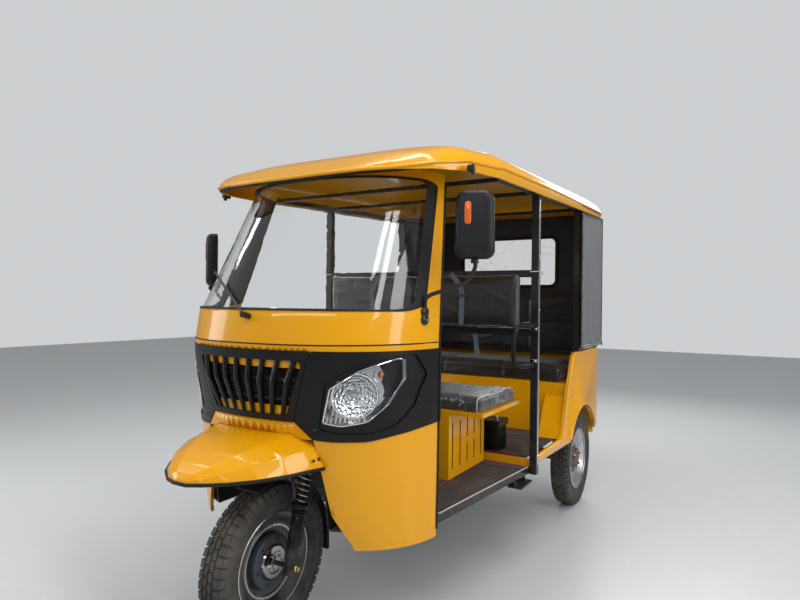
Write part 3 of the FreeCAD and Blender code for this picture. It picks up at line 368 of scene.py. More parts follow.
makeCamera()
makeLights()
finishes = {     # each with its recipe and the recipe's values
    "yellowPaint": (paintMaterial, (0.70, 0.318, 0.0005), (0.68, 0.302, 0.0004), (0.28, 0.20, 0.09), 0.14,
                    0.28, 0.5),
    "blackPaint": (paintMaterial, (0.010, 0.010, 0.011), (0.014, 0.014, 0.015), (0.13, 0.12, 0.10), 0.4,
                   0.36, 0.3),
    "blackTrim": (plasticMaterial, (0.0055, 0.0055, 0.006), 0.36, 1400.0, 0.00012),
    "greyPlastic": (plasticMaterial, (0.012, 0.0125, 0.014), 0.42, 1100.0, 0.0002),
    "slatePlastic": (plasticMaterial, (0.040, 0.046, 0.056), 0.40, 1100.0, 0.0002),
    "sealRubber": (plasticMaterial, (0.010, 0.010, 0.010), 0.55, 700.0, 0.0002),
    "clearGlass": (glassMaterial, (0.97, 0.98, 0.98), 0.0, 1.35),
    "lampLens": (glassMaterial, (0.98, 0.99, 1.0), 0.0, 1.30),
    "clearFilm": (filmMaterial, (0.62, 0.64, 0.65), 0.03, 9.0, 0.30),
    "windowFilm": (filmMaterial, (0.92, 0.94, 0.95), 0.05, 2.5, 0.14),
    "redLens": (plasticMaterial, (0.42, 0.010, 0.008), 0.12, 240.0, 0.0005, 0.1, 0.8),
    "orangeLens": (plasticMaterial, (0.62, 0.115, 0.004), 0.18, 240.0, 0.0003, 0.1, 0.6),
    "clearLens": (plasticMaterial, (0.70, 0.71, 0.72), 0.10, 240.0, 0.0005, 0.05, 0.8),
    "chrome": (metalMaterial, (0.88, 0.89, 0.90), 0.07),
    "lampSilver": (metalMaterial, (0.50, 0.51, 0.52), 0.14),
    "brightStrip": (metalMaterial, (0.74, 0.75, 0.76), 0.24, (1, 12, 1)),
    "brass": (metalMaterial, (0.72, 0.50, 0.20), 0.28),
    "castMetal": (metalMaterial, (0.16, 0.155, 0.15), 0.55, (1, 1, 1), (0.10, 0.055, 0.03), 0.6),
    "rustyHub": (metalMaterial, (0.30, 0.24, 0.20), 0.50, (1, 1, 1), (0.16, 0.060, 0.025), 0.9),
    "rimSilver": (metalMaterial, (0.60, 0.61, 0.62), 0.36, (1, 1, 1), (0.15, 0.09, 0.05), 0.4),
    "rimDark": (metalMaterial, (0.120, 0.118, 0.115), 0.38, (1, 1, 1), (0.12, 0.10, 0.08), 0.5),
    "springSteel": (metalMaterial, (0.62, 0.62, 0.62), 0.26),
    "tyreRubber": (tyreMaterial, (0.030, 0.029, 0.028), (0.115, 0.100, 0.082)),
    "lampFacets": (facetMaterial, (0.60, 0.61, 0.62)),
    "floorMat": (matMaterial, (0.040, 0.037, 0.036), (0.062, 0.034, 0.031), (0.11, 0.10, 0.092)),
    "redRubber": (plasticMaterial, (0.165, 0.020, 0.018), 0.55, 500.0, 0.0003),
    "blueRubber": (plasticMaterial, (0.070, 0.095, 0.125), 0.55, 500.0, 0.0003),
    "whitePlastic": (plasticMaterial, (0.72, 0.72, 0.70), 0.40, 500.0, 0.0002),
    "seatVinyl": (vinylMaterial, (0.0075, 0.0075, 0.0085), 8.0, 0.0008, 0.34),
    "strapCloth": (clothMaterial, (0.085, 0.105, 0.130), 700.0),
    "curtainCloth": (clothMaterial, (0.050, 0.054, 0.062), 420.0, 0.55),
    "innerCloth": (clothMaterial, (0.020, 0.021, 0.023), 420.0),
    "sillSilver": (plasticMaterial, (0.46, 0.47, 0.48), 0.30, 300.0, 0.0001),
    "tankGrey": (plasticMaterial, (0.13, 0.14, 0.155), 0.45, 600.0, 0.0002),
}
look = {name: recipe(name, *values) for name, (recipe, *values) in finishes.items()}
nodeLooks = {
    "yellowPaint": ["cowl_lower", "cowl_upper", "front_mudguard", "roof", "seat_base", "rear_body", "bench_base"],
    "blackPaint": ["chassis_frame", "sills", "roof_frame", "pillars", "rear_posts", "fork", "handlebar",
                   "leaf_springs", "wiper", "grab_handles"],
    "blackTrim": ["grille_panel", "lamp_panels", "battery_box"],
    "greyPlastic": ["front_wheel_housing", "dashboard", "fork_guard"],
    "slatePlastic": ["mirrors"],
    "sealRubber": ["windscreen_seal"],
    "clearGlass": ["windscreen"],
    "lampLens": ["headlamps"],
    "windowFilm": ["rear_window"],
    "redLens": ["tail_lamps"],
    "chrome": ["rear_bumper"],
    "castMetal": ["rear_axle", "engine_block"],
    "springSteel": ["fork_springs"],
    "rimDark": ["front_rim"],
    "rimSilver": ["rear_rim_left", "rear_rim_right"],
    "tyreRubber": ["front_tyre", "rear_tyre_left", "rear_tyre_right"],
    "floorMat": ["front_floor", "rear_floor"],
    "seatVinyl": ["driver_cushion", "driver_backrest", "bench_cushion", "bench_backrest"],
    "curtainCloth": ["side_curtains"],
    "innerCloth": ["rear_wall"],
}
for finish, names in nodeLooks.items():
    for nodeName in names:
        mesh = nodes[nodeName].data
        mesh.materials.clear()
        mesh.materials.append(look[finish])
print("materials ready:", len(look))


# Mesh helpers: every piece is gathered in one bmesh, then finished
def newObject(name, mesh):
    obj = bpy.data.objects.new(name, mesh)
    bpy.context.scene.collection.objects.link(obj)
    return obj


def newShapes(count):
    return [bmesh.new() for _ in range(count)]


def finishPiece(name, shape, finish, body="body", bevel=0.0, sharpAngle=38, flat=False):
    bmesh.ops.remove_doubles(shape, verts=shape.verts, dist=1e-6)
    bmesh.ops.recalc_face_normals(shape, faces=shape.faces)
    mesh = bpy.data.meshes.new(name)
    shape.to_mesh(mesh)
    shape.free()
    mesh.materials.append(look[finish])
    mesh.polygons.foreach_set("use_smooth", [not flat] * len(mesh.polygons))
    mesh.set_sharp_from_angle(angle=math.radians(sharpAngle))
    obj = newObject(name, mesh)
    if bevel > 0:
        modifier = obj.modifiers.new("edges", "BEVEL")
        modifier.width = bevel
        modifier.segments = 2
        modifier.limit_method = "ANGLE"
    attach(obj, body)
    return obj


def addRings(shape, rings, closed=False, capped=True):
    # Skins a row of rings with the same count of points
    rows = [[shape.verts.new(p) for p in ring] for ring in rings]
    count = len(rows[0])
    pairs = list(zip(rows, rows[1:]))
    if closed:
        pairs.append((rows[-1], rows[0]))
    for first, second in pairs:
        for i in range(count):
            j = (i + 1) % count
            shape.faces.new((first[i], first[j], second[j], second[i]))
    if capped and not closed:
        shape.faces.new(rows[0])
        shape.faces.new(rows[-1])


def skinGrid(shape, grid):
    # Faces between the neighbouring rows of a grid of vertices
    for first, second in zip(grid, grid[1:]):
        for c in range(len(first) - 1):
            shape.faces.new((first[c], first[c + 1], second[c + 1], second[c]))


def addTube(shape, points, radius, sides=10, closed=False, squash=1.0):
    count = len(points)
    rings = []
    across = None
    for i, point in enumerate(points):
        if closed:
            ahead = (points[(i + 1) % count] - points[i - 1]).normalized()
        else:
            ahead = (points[min(i + 1, count - 1)] - points[max(i - 1, 0)]).normalized()
        if across is None:
            across = ahead.cross(up) if abs(ahead.z) < 0.9 else ahead.cross(Vector((1, 0, 0)))
        across = (across - ahead * across.dot(ahead)).normalized()
        other = ahead.cross(across)
        turns = [2 * math.pi * k / sides for k in range(sides)]
        rings.append([point + across * (radius * math.cos(t)) + other * (radius * squash * math.sin(t)) for t in turns])
    addRings(shape, rings, closed)


def addBox(shape, low, high, turn=None, about=None):
    made = bmesh.ops.create_cube(shape, size=1.0)["verts"]
    low, high = Vector(low), Vector(high)
    size = high - low
    centre = (low + high) / 2
    for vert in made:
        vert.co = Vector([v * s for v, s in zip(vert.co, size)]) + centre
    if turn is not None:
        pivot = about if about is not None else centre
        for vert in made:
            vert.co = turn @ (vert.co - pivot) + pivot


def addTurned(shape, outline, centre, axis, steps=48, closed=False, capped=True):
    # An outline of (place along the axis, radius) pairs turned about an axis through the centre
    axis = axis.normalized()
    across = axis.orthogonal().normalized()
    other = axis.cross(across)
    rings = []
    for along, radius in outline:
        ring = []
        for k in range(steps):
            t = 2 * math.pi * k / steps
            ring.append(centre + axis * along + (across * math.cos(t) + other * math.sin(t)) * radius)
        rings.append(ring)
    addRings(shape, rings, closed, capped and not closed)


def addBall(shape, centre, radius, scale=(1, 1, 1)):
    made = bmesh.ops.create_icosphere(shape, subdivisions=3, radius=radius)["verts"]
    for vert in made:
        vert.co = Vector([v * s for v, s in zip(vert.co, scale)]) + centre


def addMesh(shape, mesh, matrix=None):
    if matrix is not None:
        mesh.transform(matrix)
    shape.from_mesh(mesh)
    bpy.data.meshes.remove(mesh)


def smoothPath(points, steps=6):
    # Catmull-Rom through given points
    path = []
    last = len(points) - 1
    for i in range(last):
        a, b, c, d = [points[max(0, min(last, k))] for k in (i - 1, i, i + 1, i + 2)]
        for s in range(steps):
            t = s / steps
            path.append(0.5 * ((2 * b) + (c - a) * t + (2 * a - 5 * b + 4 * c - d) * t * t
                               + (3 * b - a - 3 * c + d) * t ** 3))
    path.append(points[-1].copy())
    return path


def mirroredPoints(points):
    return [Vector((-p.x, p.y, p.z)) for p in points]


# Geometry Nodes: a small builder, and the trees that make what repeats
def startTree(name, inputs):
    tree = bpy.data.node_groups.new(name, "GeometryNodeTree")
    tree.interface.new_socket("Geometry", in_out="INPUT", socket_type="NodeSocketGeometry")
    for label, (kind, value) in inputs.items():
        socket = tree.interface.new_socket(label, in_out="INPUT", socket_type="NodeSocket" + kind)
        if value is not None:
            socket.default_value = value
    tree.interface.new_socket("Finish", in_out="INPUT", socket_type="NodeSocketMaterial")
    tree.interface.new_socket("Geometry", in_out="OUTPUT", socket_type="NodeSocketGeometry")
    return tree, tree.nodes.new("NodeGroupInput").outputs


def treeNode(tree, kind, links=None, **settings):
    node = tree.nodes.new(kind)
    for name, value in settings.items():
        setattr(node, name, value)
    for key, value in (links or {}).items():
        if isinstance(value, bpy.types.NodeSocket):
            tree.links.new(value, node.inputs[key])
        else:
            node.inputs[key].default_value = value
    return node


def endTree(tree, inputs, geometry):
    smooth = treeNode(tree, "GeometryNodeSetShadeSmooth", {"Geometry": geometry, "Shade Smooth": False})
    real = treeNode(tree, "GeometryNodeRealizeInstances", {"Geometry": smooth.outputs[0]})
    painted = treeNode(tree, "GeometryNodeSetMaterial", {"Geometry": real.outputs[0], "Material": inputs["Finish"]})
    end = tree.nodes.new("NodeGroupOutput")
    tree.links.new(painted.outputs[0], end.inputs[0])
    return tree


def growMesh(tree, values, finish, seed=None):
    # Runs a tree on its own and returns the plain mesh
    holder = newObject("seed", seed or bpy.data.meshes.new("seed"))
    modifier = holder.modifiers.new("grow", "NODES")
    modifier.node_group = tree
    values = dict(values, Finish=look[finish])
    for item in tree.interface.items_tree:
        if item.in_out == "INPUT" and item.name in values:
            modifier[item.identifier] = values[item.name]
    grown = bpy.data.meshes.new_from_object(holder.evaluated_get(bpy.context.evaluated_depsgraph_get()))
    bpy.data.objects.remove(holder)
    return grown


def calc(tree, operation, a, b=0.0):
    return treeNode(tree, "ShaderNodeMath", {0: a, 1: b}, operation=operation).outputs[0]


def makeBlockRingTree():
    # Tapered blocks set round a ring in the YZ plane, as on a tyre's tread
    tree, start = startTree("blockRing", {
        "Count": ("Int", 50), "Radius": ("Float", 0.27), "Across": ("Float", 0.03), "Phase": ("Float", 0.0),
        "Block": ("Vector", (0.02, 0.02, 0.01)), "Tilt": ("Float", 0.0), "Skew": ("Float", 0.0)})
    line = treeNode(tree, "GeometryNodeMeshLine", {"Count": start["Count"], "Offset": (0, 0, 0)})
    index = treeNode(tree, "GeometryNodeInputIndex").outputs[0]
    share = calc(tree, "DIVIDE", calc(tree, "ADD", index, start["Phase"]), start["Count"])
    angle = calc(tree, "MULTIPLY", share, 2 * math.pi)
    place = treeNode(tree, "ShaderNodeCombineXYZ", {
        0: start["Across"], 1: calc(tree, "MULTIPLY", calc(tree, "SINE", angle), start["Radius"]),
        2: calc(tree, "MULTIPLY", calc(tree, "COSINE", angle), start["Radius"])}).outputs[0]
    points = treeNode(tree, "GeometryNodeSetPosition", {"Geometry": line.outputs[0], "Position": place})
    block = treeNode(tree, "GeometryNodeMeshCube", {"Size": start["Block"]})
    facing = treeNode(tree, "GeometryNodeInputNormal").outputs[0]
    facingUp = treeNode(tree, "ShaderNodeSeparateXYZ", {0: facing}).outputs[2]
    top = calc(tree, "GREATER_THAN", facingUp, 0.5)
    taper = treeNode(tree, "GeometryNodeScaleElements", {"Geometry": block.outputs[0], "Selection": top, "Scale": 0.86})
    lean = treeNode(tree, "ShaderNodeCombineXYZ", {0: 0.0, 1: start["Tilt"], 2: start["Skew"]}).outputs[0]
    leaning = treeNode(tree, "GeometryNodeTransform", {"Geometry": taper.outputs[0], "Rotation": lean})
    spin = treeNode(tree, "ShaderNodeCombineXYZ", {0: calc(tree, "MULTIPLY", angle, -1.0), 1: 0.0, 2: 0.0}).outputs[0]
    ring = treeNode(tree, "GeometryNodeInstanceOnPoints", {
        "Points": points.outputs[0], "Instance": leaning.outputs[0], "Rotation": spin})
    return endTree(tree, start, ring.outputs[0])


def makeCoilTree():
    # A wire coil standing on the origin
    tree, start = startTree("coil", {
        "Turns": ("Float", 8.0), "Radius": ("Float", 0.02), "Height": ("Float", 0.1), "Wire": ("Float", 0.003)})
    spiral = treeNode(tree, "GeometryNodeCurveSpiral", {
        "Resolution": 24, "Rotations": start["Turns"], "Start Radius": start["Radius"],
        "End Radius": start["Radius"], "Height": start["Height"]})
    wire = treeNode(tree, "GeometryNodeCurvePrimitiveCircle", {"Resolution": 8, "Radius": start["Wire"]})
    body = treeNode(tree, "GeometryNodeCurveToMesh", {
        "Curve": spiral.outputs[0], "Profile Curve": wire.outputs[0], "Fill Caps": True})
    return endTree(tree, start, body.outputs[0])


def makeHeadsTree():
    # Bolt, rivet or snap heads on the seed's points, each facing its point's own way
    tree, start = startTree("heads", {
        "Sides": ("Int", 6), "Radius": ("Float", 0.006), "Top": ("Float", 0.005), "Height": ("Float", 0.004)})
    head = treeNode(tree, "GeometryNodeMeshCone", {
        "Vertices": start["Sides"], "Radius Bottom": start["Radius"], "Radius Top": start["Top"],
        "Depth": start["Height"]})
    way = treeNode(tree, "GeometryNodeInputNamedAttribute", {"Name": "way"}, data_type="FLOAT_VECTOR").outputs[0]
    turn = treeNode(tree, "FunctionNodeAlignRotationToVector", {"Vector": way}, axis="Z").outputs[0]
    placed = treeNode(tree, "GeometryNodeInstanceOnPoints", {
        "Points": start["Geometry"], "Instance": head.outputs[0], "Rotation": turn})
    return endTree(tree, start, placed.outputs[0])


def smoothSkin(nodeName, finish, sharpAngle):
    # A merged copy of a pressed skin, shaded smoothly between its true edges
    shape = bmesh.new()
    shape.from_mesh(nodes[nodeName].data)
    bmesh.ops.remove_doubles(shape, verts=shape.verts, dist=0.00002)
    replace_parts(finishPiece(nodeName + "_skin", shape, finish, sharpAngle=sharpAngle), nodeName)


blockRingTree = makeBlockRingTree()
coilTree = makeCoilTree()
headsTree = makeHeadsTree()


def growHeads(places, finish, sides=6, radius=0.006, top=0.005, height=0.004):
    seed = bpy.data.meshes.new("headPlaces")
    seed.from_pydata([place for place, _ in places], [], [])
    ways = seed.attributes.new("way", "FLOAT_VECTOR", "POINT")
    ways.data.foreach_set("vector", [v for _, way in places for v in way])
    return growMesh(headsTree, {"Sides": sides, "Radius": radius, "Top": top, "Height": height}, finish, seed)


def headsPiece(name, places, finish, body="body", **sizes):
    shape = bmesh.new()
    addMesh(shape, growHeads(places, finish, **sizes))
    return finishPiece(name, shape, finish, body)


print("node trees ready")


# Seams, beads and edging on the cab and the mudguard
trim = {
    "seamRadius": 0.0024,
    "beadRadius": 0.0050,
    "beadHeights": (0.402, 1.715),
    "edgingRadius": 0.0062,
    "gasketRadius": 0.0050,
    "lipRadius": 0.0065,
    "rivetPlaces": [(0.354, 0.891), (0.492, 0.735)],   # shares of the cab's half width and seam height
    "guardBolts": [(0.272, -0.075, 0.700), (0.272, -0.045, 0.700)],
    "latches": [(0.632, 0.009, 0.352, 0.392, 1.714, 1.736), (0.640, 0.004, 0.364, 0.380, 1.704, 1.742)],
}
cabHalf = 0.525


def rimPath(node):
    # The outermost edge of a node as seen from above, in order
    verts = [vertex.co.copy() for vertex in nodes[node].data.vertices]
    order = convex_hull_2d([(v.x, v.y) for v in verts])
    path = []
    for i in order:
        if not path or (verts[i] - path[-1]).length > 0.004:
            path.append(verts[i])
    return path


def seamAcross(z, proud):
    # A line over the whole cab front at one height, from door edge to door edge
    right = [onCab(0.505 * math.sin(i / 24 * math.pi / 2), z, proud)[0] for i in range(25)]
    edge = doorEdge(z, 1)
    right.append(Vector((edge.x + proud, edge.y - 0.012, z)))
    return mirroredPoints(reversed(right[1:])) + right


def makeCabTrim():
    shape = bmesh.new()
    addTube(shape, seamAcross(seamHeight + 0.001, 0.0004), trim["seamRadius"], 8)
    low, high = trim["beadHeights"]
    for side in (-1, 1):
        edges = [doorEdge(low + (high - low) * i / 59, side) for i in range(60)]
        path = [edge + Vector((side * 0.001, 0.001, 0)) for edge in edges if edge is not None]
        addTube(shape, path, trim["beadRadius"], 8)
    finishPiece("cabBeads", shape, "sealRubber")
    places = [onCab(side * x * cabHalf, z * seamHeight) for x, z in trim["rivetPlaces"] for side in (-1, 1)]
    headsPiece("cabRivets", places, "blackPaint", sides=14, radius=0.0055, top=0.0035, height=0.003)


def makeMudguardTrim():
    # Rubber edging along the guard's lower rim, open at the back
    low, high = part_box("front_mudguard")
    rear = high.y - 0.003
    rim = rimPath("front_mudguard")
    backs = [i for i, p in enumerate(rim) if p.y > rear]
    first = backs[-1] if backs[0] == 0 else backs[0]
    rim = rim[first:] + rim[:first]
    rim = [p for i, p in enumerate(rim) if p.y <= rear or i in (0, len(rim) - 1)]
    rim = [p for p in rim if p.z < low.z + 0.037 and (abs(p.x) > 0.002 or p.y < low.y + 0.05)]
    start = max(range(len(rim)), key=lambda i: (rim[i] - rim[i - 1]).length)
    shape = bmesh.new()
    addTube(shape, [p - up * 0.002 for p in rim[start:] + rim[:start]], trim["edgingRadius"], 8)
    finishPiece("mudguardEdging", shape, "sealRubber")
    bolts = [(spot(side * x, y, z), Vector((side, 0, 0.4)).normalized())
             for side in (-1, 1) for x, y, z in trim["guardBolts"]]
    headsPiece("mudguardBolts", bolts, "blackPaint", radius=0.006, height=0.004)


def makeRoofTrim():
    rim = rimPath("roof")
    centre = sum(rim, Vector()) / len(rim)
    inward = [Vector((centre.x - p.x, centre.y - p.y, 0)).normalized() for p in rim]
    gasket, lip, latches = newShapes(3)
    addTube(gasket, [p + way * 0.007 - up * 0.004 for p, way in zip(rim, inward)], trim["gasketRadius"], 8, closed=True)
    finishPiece("roofGasket", gasket, "sealRubber")
    addTube(lip, [p - way * 0.001 + up * 0.007 for p, way in zip(rim, inward)], trim["lipRadius"], 10, closed=True)
    finishPiece("roofLip", lip, "yellowPaint")
    for side in (-1, 1):
        for x, half, front, rear, low, high in trim["latches"]:
            addBox(latches, spot(side * x - half, front, low), spot(side * x + half, rear, high))
    finishPiece("roofLatches", latches, "blackPaint", bevel=0.002)


# Headlamps: a clear lens over a silvered bowl, a faceted round reflector and a turn bulb
headlamp = {
    "lensWall": 0.0022,
    "bowlDepth": 0.050,
    "reflectorPlace": (0.386, 0.912),   # x and z on the cab's front
    "reflectorRadius": 0.078,
    "reflectorDepth": 0.045,
    "reflectorBack": 0.014,             # rim behind the lens
    "facets": 26,
    "trimRadius": 0.0023,
    "capOutline": [(-1.0, 0.016), (-0.35, 0.013), (-0.22, 0.009)],   # share of the depth, radius
    "bulbPlace": (0.452, 0.982),
    "bulbBehind": 0.024,
    "bulbRadius": 0.0085,
    "cupRadius": 0.026,
    "cupDepth": 0.020,
    "darkFrom": (0.430, 0.905),
    "ribCount": 9,
    "ribFeet": ((0.300, 0.822), (0.405, 0.828)),     # first and last
    "ribHeads": ((0.306, 0.842), (0.406, 0.846)),
    "ribBehind": 0.008,
    "ribRadius": 0.003,
}


def lampShell():
    # The CAD lamp's front faces alone, as a merged copy
    shape = bmesh.new()
    shape.from_mesh(nodes["headlamps"].data)
    bmesh.ops.remove_doubles(shape, verts=shape.verts, dist=3e-5)
    shape.normal_update()
    others = [face for face in shape.faces if face.normal.y > -0.08]
    bmesh.ops.delete(shape, geom=others, context="FACES")
    return shape


def openEdgeLoops(shape):
    links = {}
    for edge in shape.edges:
        if len(edge.link_faces) == 1:
            a, b = edge.verts
            links.setdefault(a, []).append(b)
            links.setdefault(b, []).append(a)
    loops = []
    while links:
        start = next(iter(links))
        loop, here = [start], start
        while True:
            ahead = [v for v in links.pop(here, []) if v in links]
            if not ahead:
                break
            here = ahead[0]
            loop.append(here)
        if len(loop) > 8:
            loops.append([v.co.copy() for v in loop])
    return loops


def reflectorFrame(side):
    x, z = headlamp["reflectorPlace"]
    place, facing = onCab(side * x, z)
    return place - facing * headlamp["reflectorBack"], facing


def dish(depth, radius, shares):
    # The outline of a round bowl, from its rim inwards
    return [(-depth * (1 - share ** 2), radius * share) for share in shares]


def ribPoint(ends, side, share):
    (firstX, firstZ), (lastX, lastZ) = ends
    place, facing = onCab(side * (firstX + (lastX - firstX) * share), firstZ + (lastZ - firstZ) * share)
    return place - facing * headlamp["ribBehind"]


def makeHeadlamps():
    shell = lampShell()
    loops = openEdgeLoops(shell)
    trimShape = bmesh.new()
    for loop in loops:
        centre = sum(loop, Vector()) / len(loop)
        path = [p + (centre - p).normalized() * 0.0035 + Vector((0, 0.0045, 0)) for p in loop]
        addTube(trimShape, path, headlamp["trimRadius"], 8, closed=True)
    finishPiece("headlampTrim", trimShape, "chrome")

    # The bowl: the lens's outline drawn back, with a hole where the reflector sits
    bowl, dark = newShapes(2)
    frames = {side: reflectorFrame(side) for side in (-1, 1)}
    darkX, darkZ = headlamp["darkFrom"]
    for face in shell.faces:
        corners = [v.co + Vector((0, headlamp["bowlDepth"], 0)) for v in face.verts]
        middleOfFace = sum(corners, Vector()) / len(corners)
        side = 1 if middleOfFace.x > 0 else -1
        place, facing = frames[side]
        offset = middleOfFace - place
        if (offset - facing * offset.dot(facing)).length < headlamp["reflectorRadius"] - 0.004:
            continue
        target = dark if abs(middleOfFace.x) > darkX and middleOfFace.z > darkZ else bowl
        target.faces.new([target.verts.new(c) for c in corners])
    for loop in loops:
        front = [p + Vector((0, 0.002, 0)) for p in loop]
        back = [p + Vector((0, headlamp["bowlDepth"], 0)) for p in loop]
        addRings(bowl, [front, back], capped=False)
    finishPiece("headlampBowls", bowl, "lampSilver")
    finishPiece("headlampDarkPanels", dark, "blackTrim")

    reflector, rings, caps, bulbs, cups, ribs = newShapes(6)
    radius, depth = headlamp["reflectorRadius"], headlamp["reflectorDepth"]
    rim = [(0.0, radius + 0.0035), (0.003, radius + 0.001), (0.003, radius - 0.002), (-0.002, radius - 0.003)]
    cap = [(share * depth, capRadius) for share, capRadius in headlamp["capOutline"]]
    for side in (-1, 1):
        place, facing = frames[side]
        addTurned(reflector, dish(depth, radius, (1.0, 0.82, 0.64, 0.46, 0.28, 0.01)), place, facing,
                  headlamp["facets"], capped=False)
        addTurned(rings, rim, place, facing, 64, closed=True)
        addTurned(caps, cap, place, facing, 24)
    finishPiece("headlampReflectors", reflector, "lampFacets", flat=True)
    finishPiece("headlampRings", rings, "chrome")
    finishPiece("headlampCaps", caps, "lampSilver")

    for side in (-1, 1):
        x, z = headlamp["bulbPlace"]
        place, facing = onCab(side * x, z)
        place -= facing * headlamp["bulbBehind"]
        addBall(bulbs, place, headlamp["bulbRadius"], (1, 1, 1.35))
        addTurned(cups, dish(headlamp["cupDepth"], headlamp["cupRadius"], (1.0, 0.75, 0.5, 0.25, 0.01)),
                  place - facing * 0.004, facing, 18, capped=False)
        for i in range(headlamp["ribCount"]):
            share = i / (headlamp["ribCount"] - 1)
            addTube(ribs, [ribPoint(headlamp[ends], side, share) for ends in ("ribFeet", "ribHeads")],
                    headlamp["ribRadius"], 6)
    finishPiece("turnBulbs", bulbs, "orangeLens")
    finishPiece("turnCups", cups, "chrome", flat=True)
    finishPiece("headlampRibs", ribs, "clearLens")

    bmesh.ops.solidify(shell, geom=list(shell.faces), thickness=headlamp["lensWall"])
    lens = finishPiece("headlampLenses", shell, "lampLens")
    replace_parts(lens, "headlamps")


makeCabTrim()
makeMudguardTrim()
makeRoofTrim()
makeHeadlamps()
print("cab trim and lamps made")


# Tyres and wheels
tread = {
    "blockCount": 50,
    "shoulderAcross": 0.0345,
    "shoulderBlock": (0.0240, 0.0302, 0.0098),
    "shoulderTilt": 12.0,
    "wrapBlock": (0.0055, 0.0292, 0.0225),
    "wrapAcross": 0.0478,
    "centreAcross": 0.0108,
    "centreBlock": (0.0165, 0.0325, 0.0100),
    "centreSkew": 9.0,
    "shoulderRadius": 0.2735,
    "wrapTilt": -14.0,
    "wrapRadius": 0.2600,
    "centreRadius": 0.2758,
    "carcass": [(0.034, 0.167), (0.0385, 0.181), (0.046, 0.205), (0.0505, 0.232), (0.0485, 0.252), (0.043, 0.2665),
                (0.030, 0.2735), (0.010, 0.2760)],
    "ribs": [(0.0475, 0.212), (0.0490, 0.222)],
    "ribWire": 0.0016,
}
# Outlines are pairs of the place along the axle, counted outwards, and the radius
rearWheelTrim = {
    "hub": [(0.014, 0.068), (0.021, 0.066), (0.024, 0.040), (0.040, 0.032), (0.044, 0.026), (0.044, 0.004)],
    "bead": [(0.0405, 0.1795), (0.0435, 0.1815), (0.0450, 0.1775), (0.0420, 0.1755)],
    "step": [(0.010, 0.118), (0.0135, 0.112), (0.0135, 0.098), (0.010, 0.092)],
    "nuts": {"across": 0.029, "circle": 0.052, "count": 5, "phase": 0.3},
    "nut": {"sides": 6, "radius": 0.0095, "top": 0.008, "height": 0.016},
    "valve": [(0.020, 0.140), (0.034, 0.128)],
}
frontWheelTrim = {
    "cover": [(0.010, 0.100), (0.026, 0.097), (0.031, 0.090), (0.031, 0.066), (0.026, 0.062)],
    "disc": [(0.030, 0.060), (0.038, 0.056), (0.040, 0.040), (0.037, 0.036), (0.041, 0.022), (0.048, 0.020),
             (0.048, 0.010)],
    "bead": [(0.0375, 0.1790), (0.0405, 0.1815), (0.0420, 0.1780), (0.0390, 0.1755)],
    "lip": [(0.014, 0.134), (0.019, 0.131), (0.019, 0.124), (0.014, 0.121)],
    "coverBolts": {"across": 0.033, "circle": 0.080, "count": 6, "phase": 0.2},
    "coverBolt": {"sides": 6, "radius": 0.006, "top": 0.005, "height": 0.006},
    "discBolts": {"across": 0.041, "circle": 0.030, "count": 4, "phase": 0.4},
    "discBolt": {"sides": 12, "radius": 0.0045, "top": 0.004, "height": 0.005},
}


def mirroredOutline(half):
    return half + [(-along, radius) for along, radius in reversed(half)]


def boltCircle(shape, centre, out, finish, circle, head):
    # Heads in a circle on the outer face of a wheel
    places = []
    for k in range(circle["count"]):
        t = 2 * math.pi * (k + circle["phase"]) / circle["count"]
        away = Vector((out * circle["across"], circle["circle"] * math.cos(t), circle["circle"] * math.sin(t)))
        places.append((centre + away, Vector((out, 0, 0))))
    addMesh(shape, growHeads(places, finish, **head))


def makeTyre(node, body):
    centre = middle(node)
    shape = bmesh.new()
    addTurned(shape, mirroredOutline(tread["carcass"]), centre, Vector((1, 0, 0)), 96, closed=True)
    for across, radius in tread["ribs"]:
        for side in (-1, 1):
            ring = [centre + Vector((side * across, radius * math.sin(t), radius * math.cos(t)))
                    for t in [2 * math.pi * k / 96 for k in range(96)]]
            addTube(shape, ring, tread["ribWire"], 6, closed=True)
    for side in (-1, 1):
        for row, phase in (("shoulder", 0.0), ("wrap", 0.0), ("centre", 0.5)):
            blocks = growMesh(blockRingTree, {
                "Count": tread["blockCount"], "Radius": tread[row + "Radius"], "Across": side * tread[row + "Across"],
                "Block": tread[row + "Block"], "Tilt": math.radians(side * tread.get(row + "Tilt", 0.0)),
                "Phase": 0.25 * side + phase, "Skew": math.radians(side * tread.get(row + "Skew", 0.0))}, "tyreRubber")
            addMesh(shape, blocks, Matrix.Translation(centre))
    tyre = finishPiece(node + "_tread", shape, "tyreRubber", body, sharpAngle=30)
    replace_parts(tyre, node)


def makeRearWheelTrim(node, body, out):
    centre = middle(node)
    axis = Vector((out, 0, 0))
    hub, rings, valve = newShapes(3)
    addTurned(hub, rearWheelTrim["hub"], centre, axis, 40)
    boltCircle(hub, centre, out, "rustyHub", rearWheelTrim["nuts"], rearWheelTrim["nut"])
    finishPiece(body + "_hub", hub, "rustyHub", body)
    addTurned(rings, rearWheelTrim["bead"], centre, axis, 96, closed=True)
    addTurned(rings, rearWheelTrim["step"], centre, axis, 80, closed=True)
    finishPiece(body + "_rings", rings, "rimSilver", body)
    addTube(valve, [centre + Vector((out * x, 0.0, z)) for x, z in rearWheelTrim["valve"]], 0.004, 8)
    finishPiece(body + "_valve", valve, "brass", body)


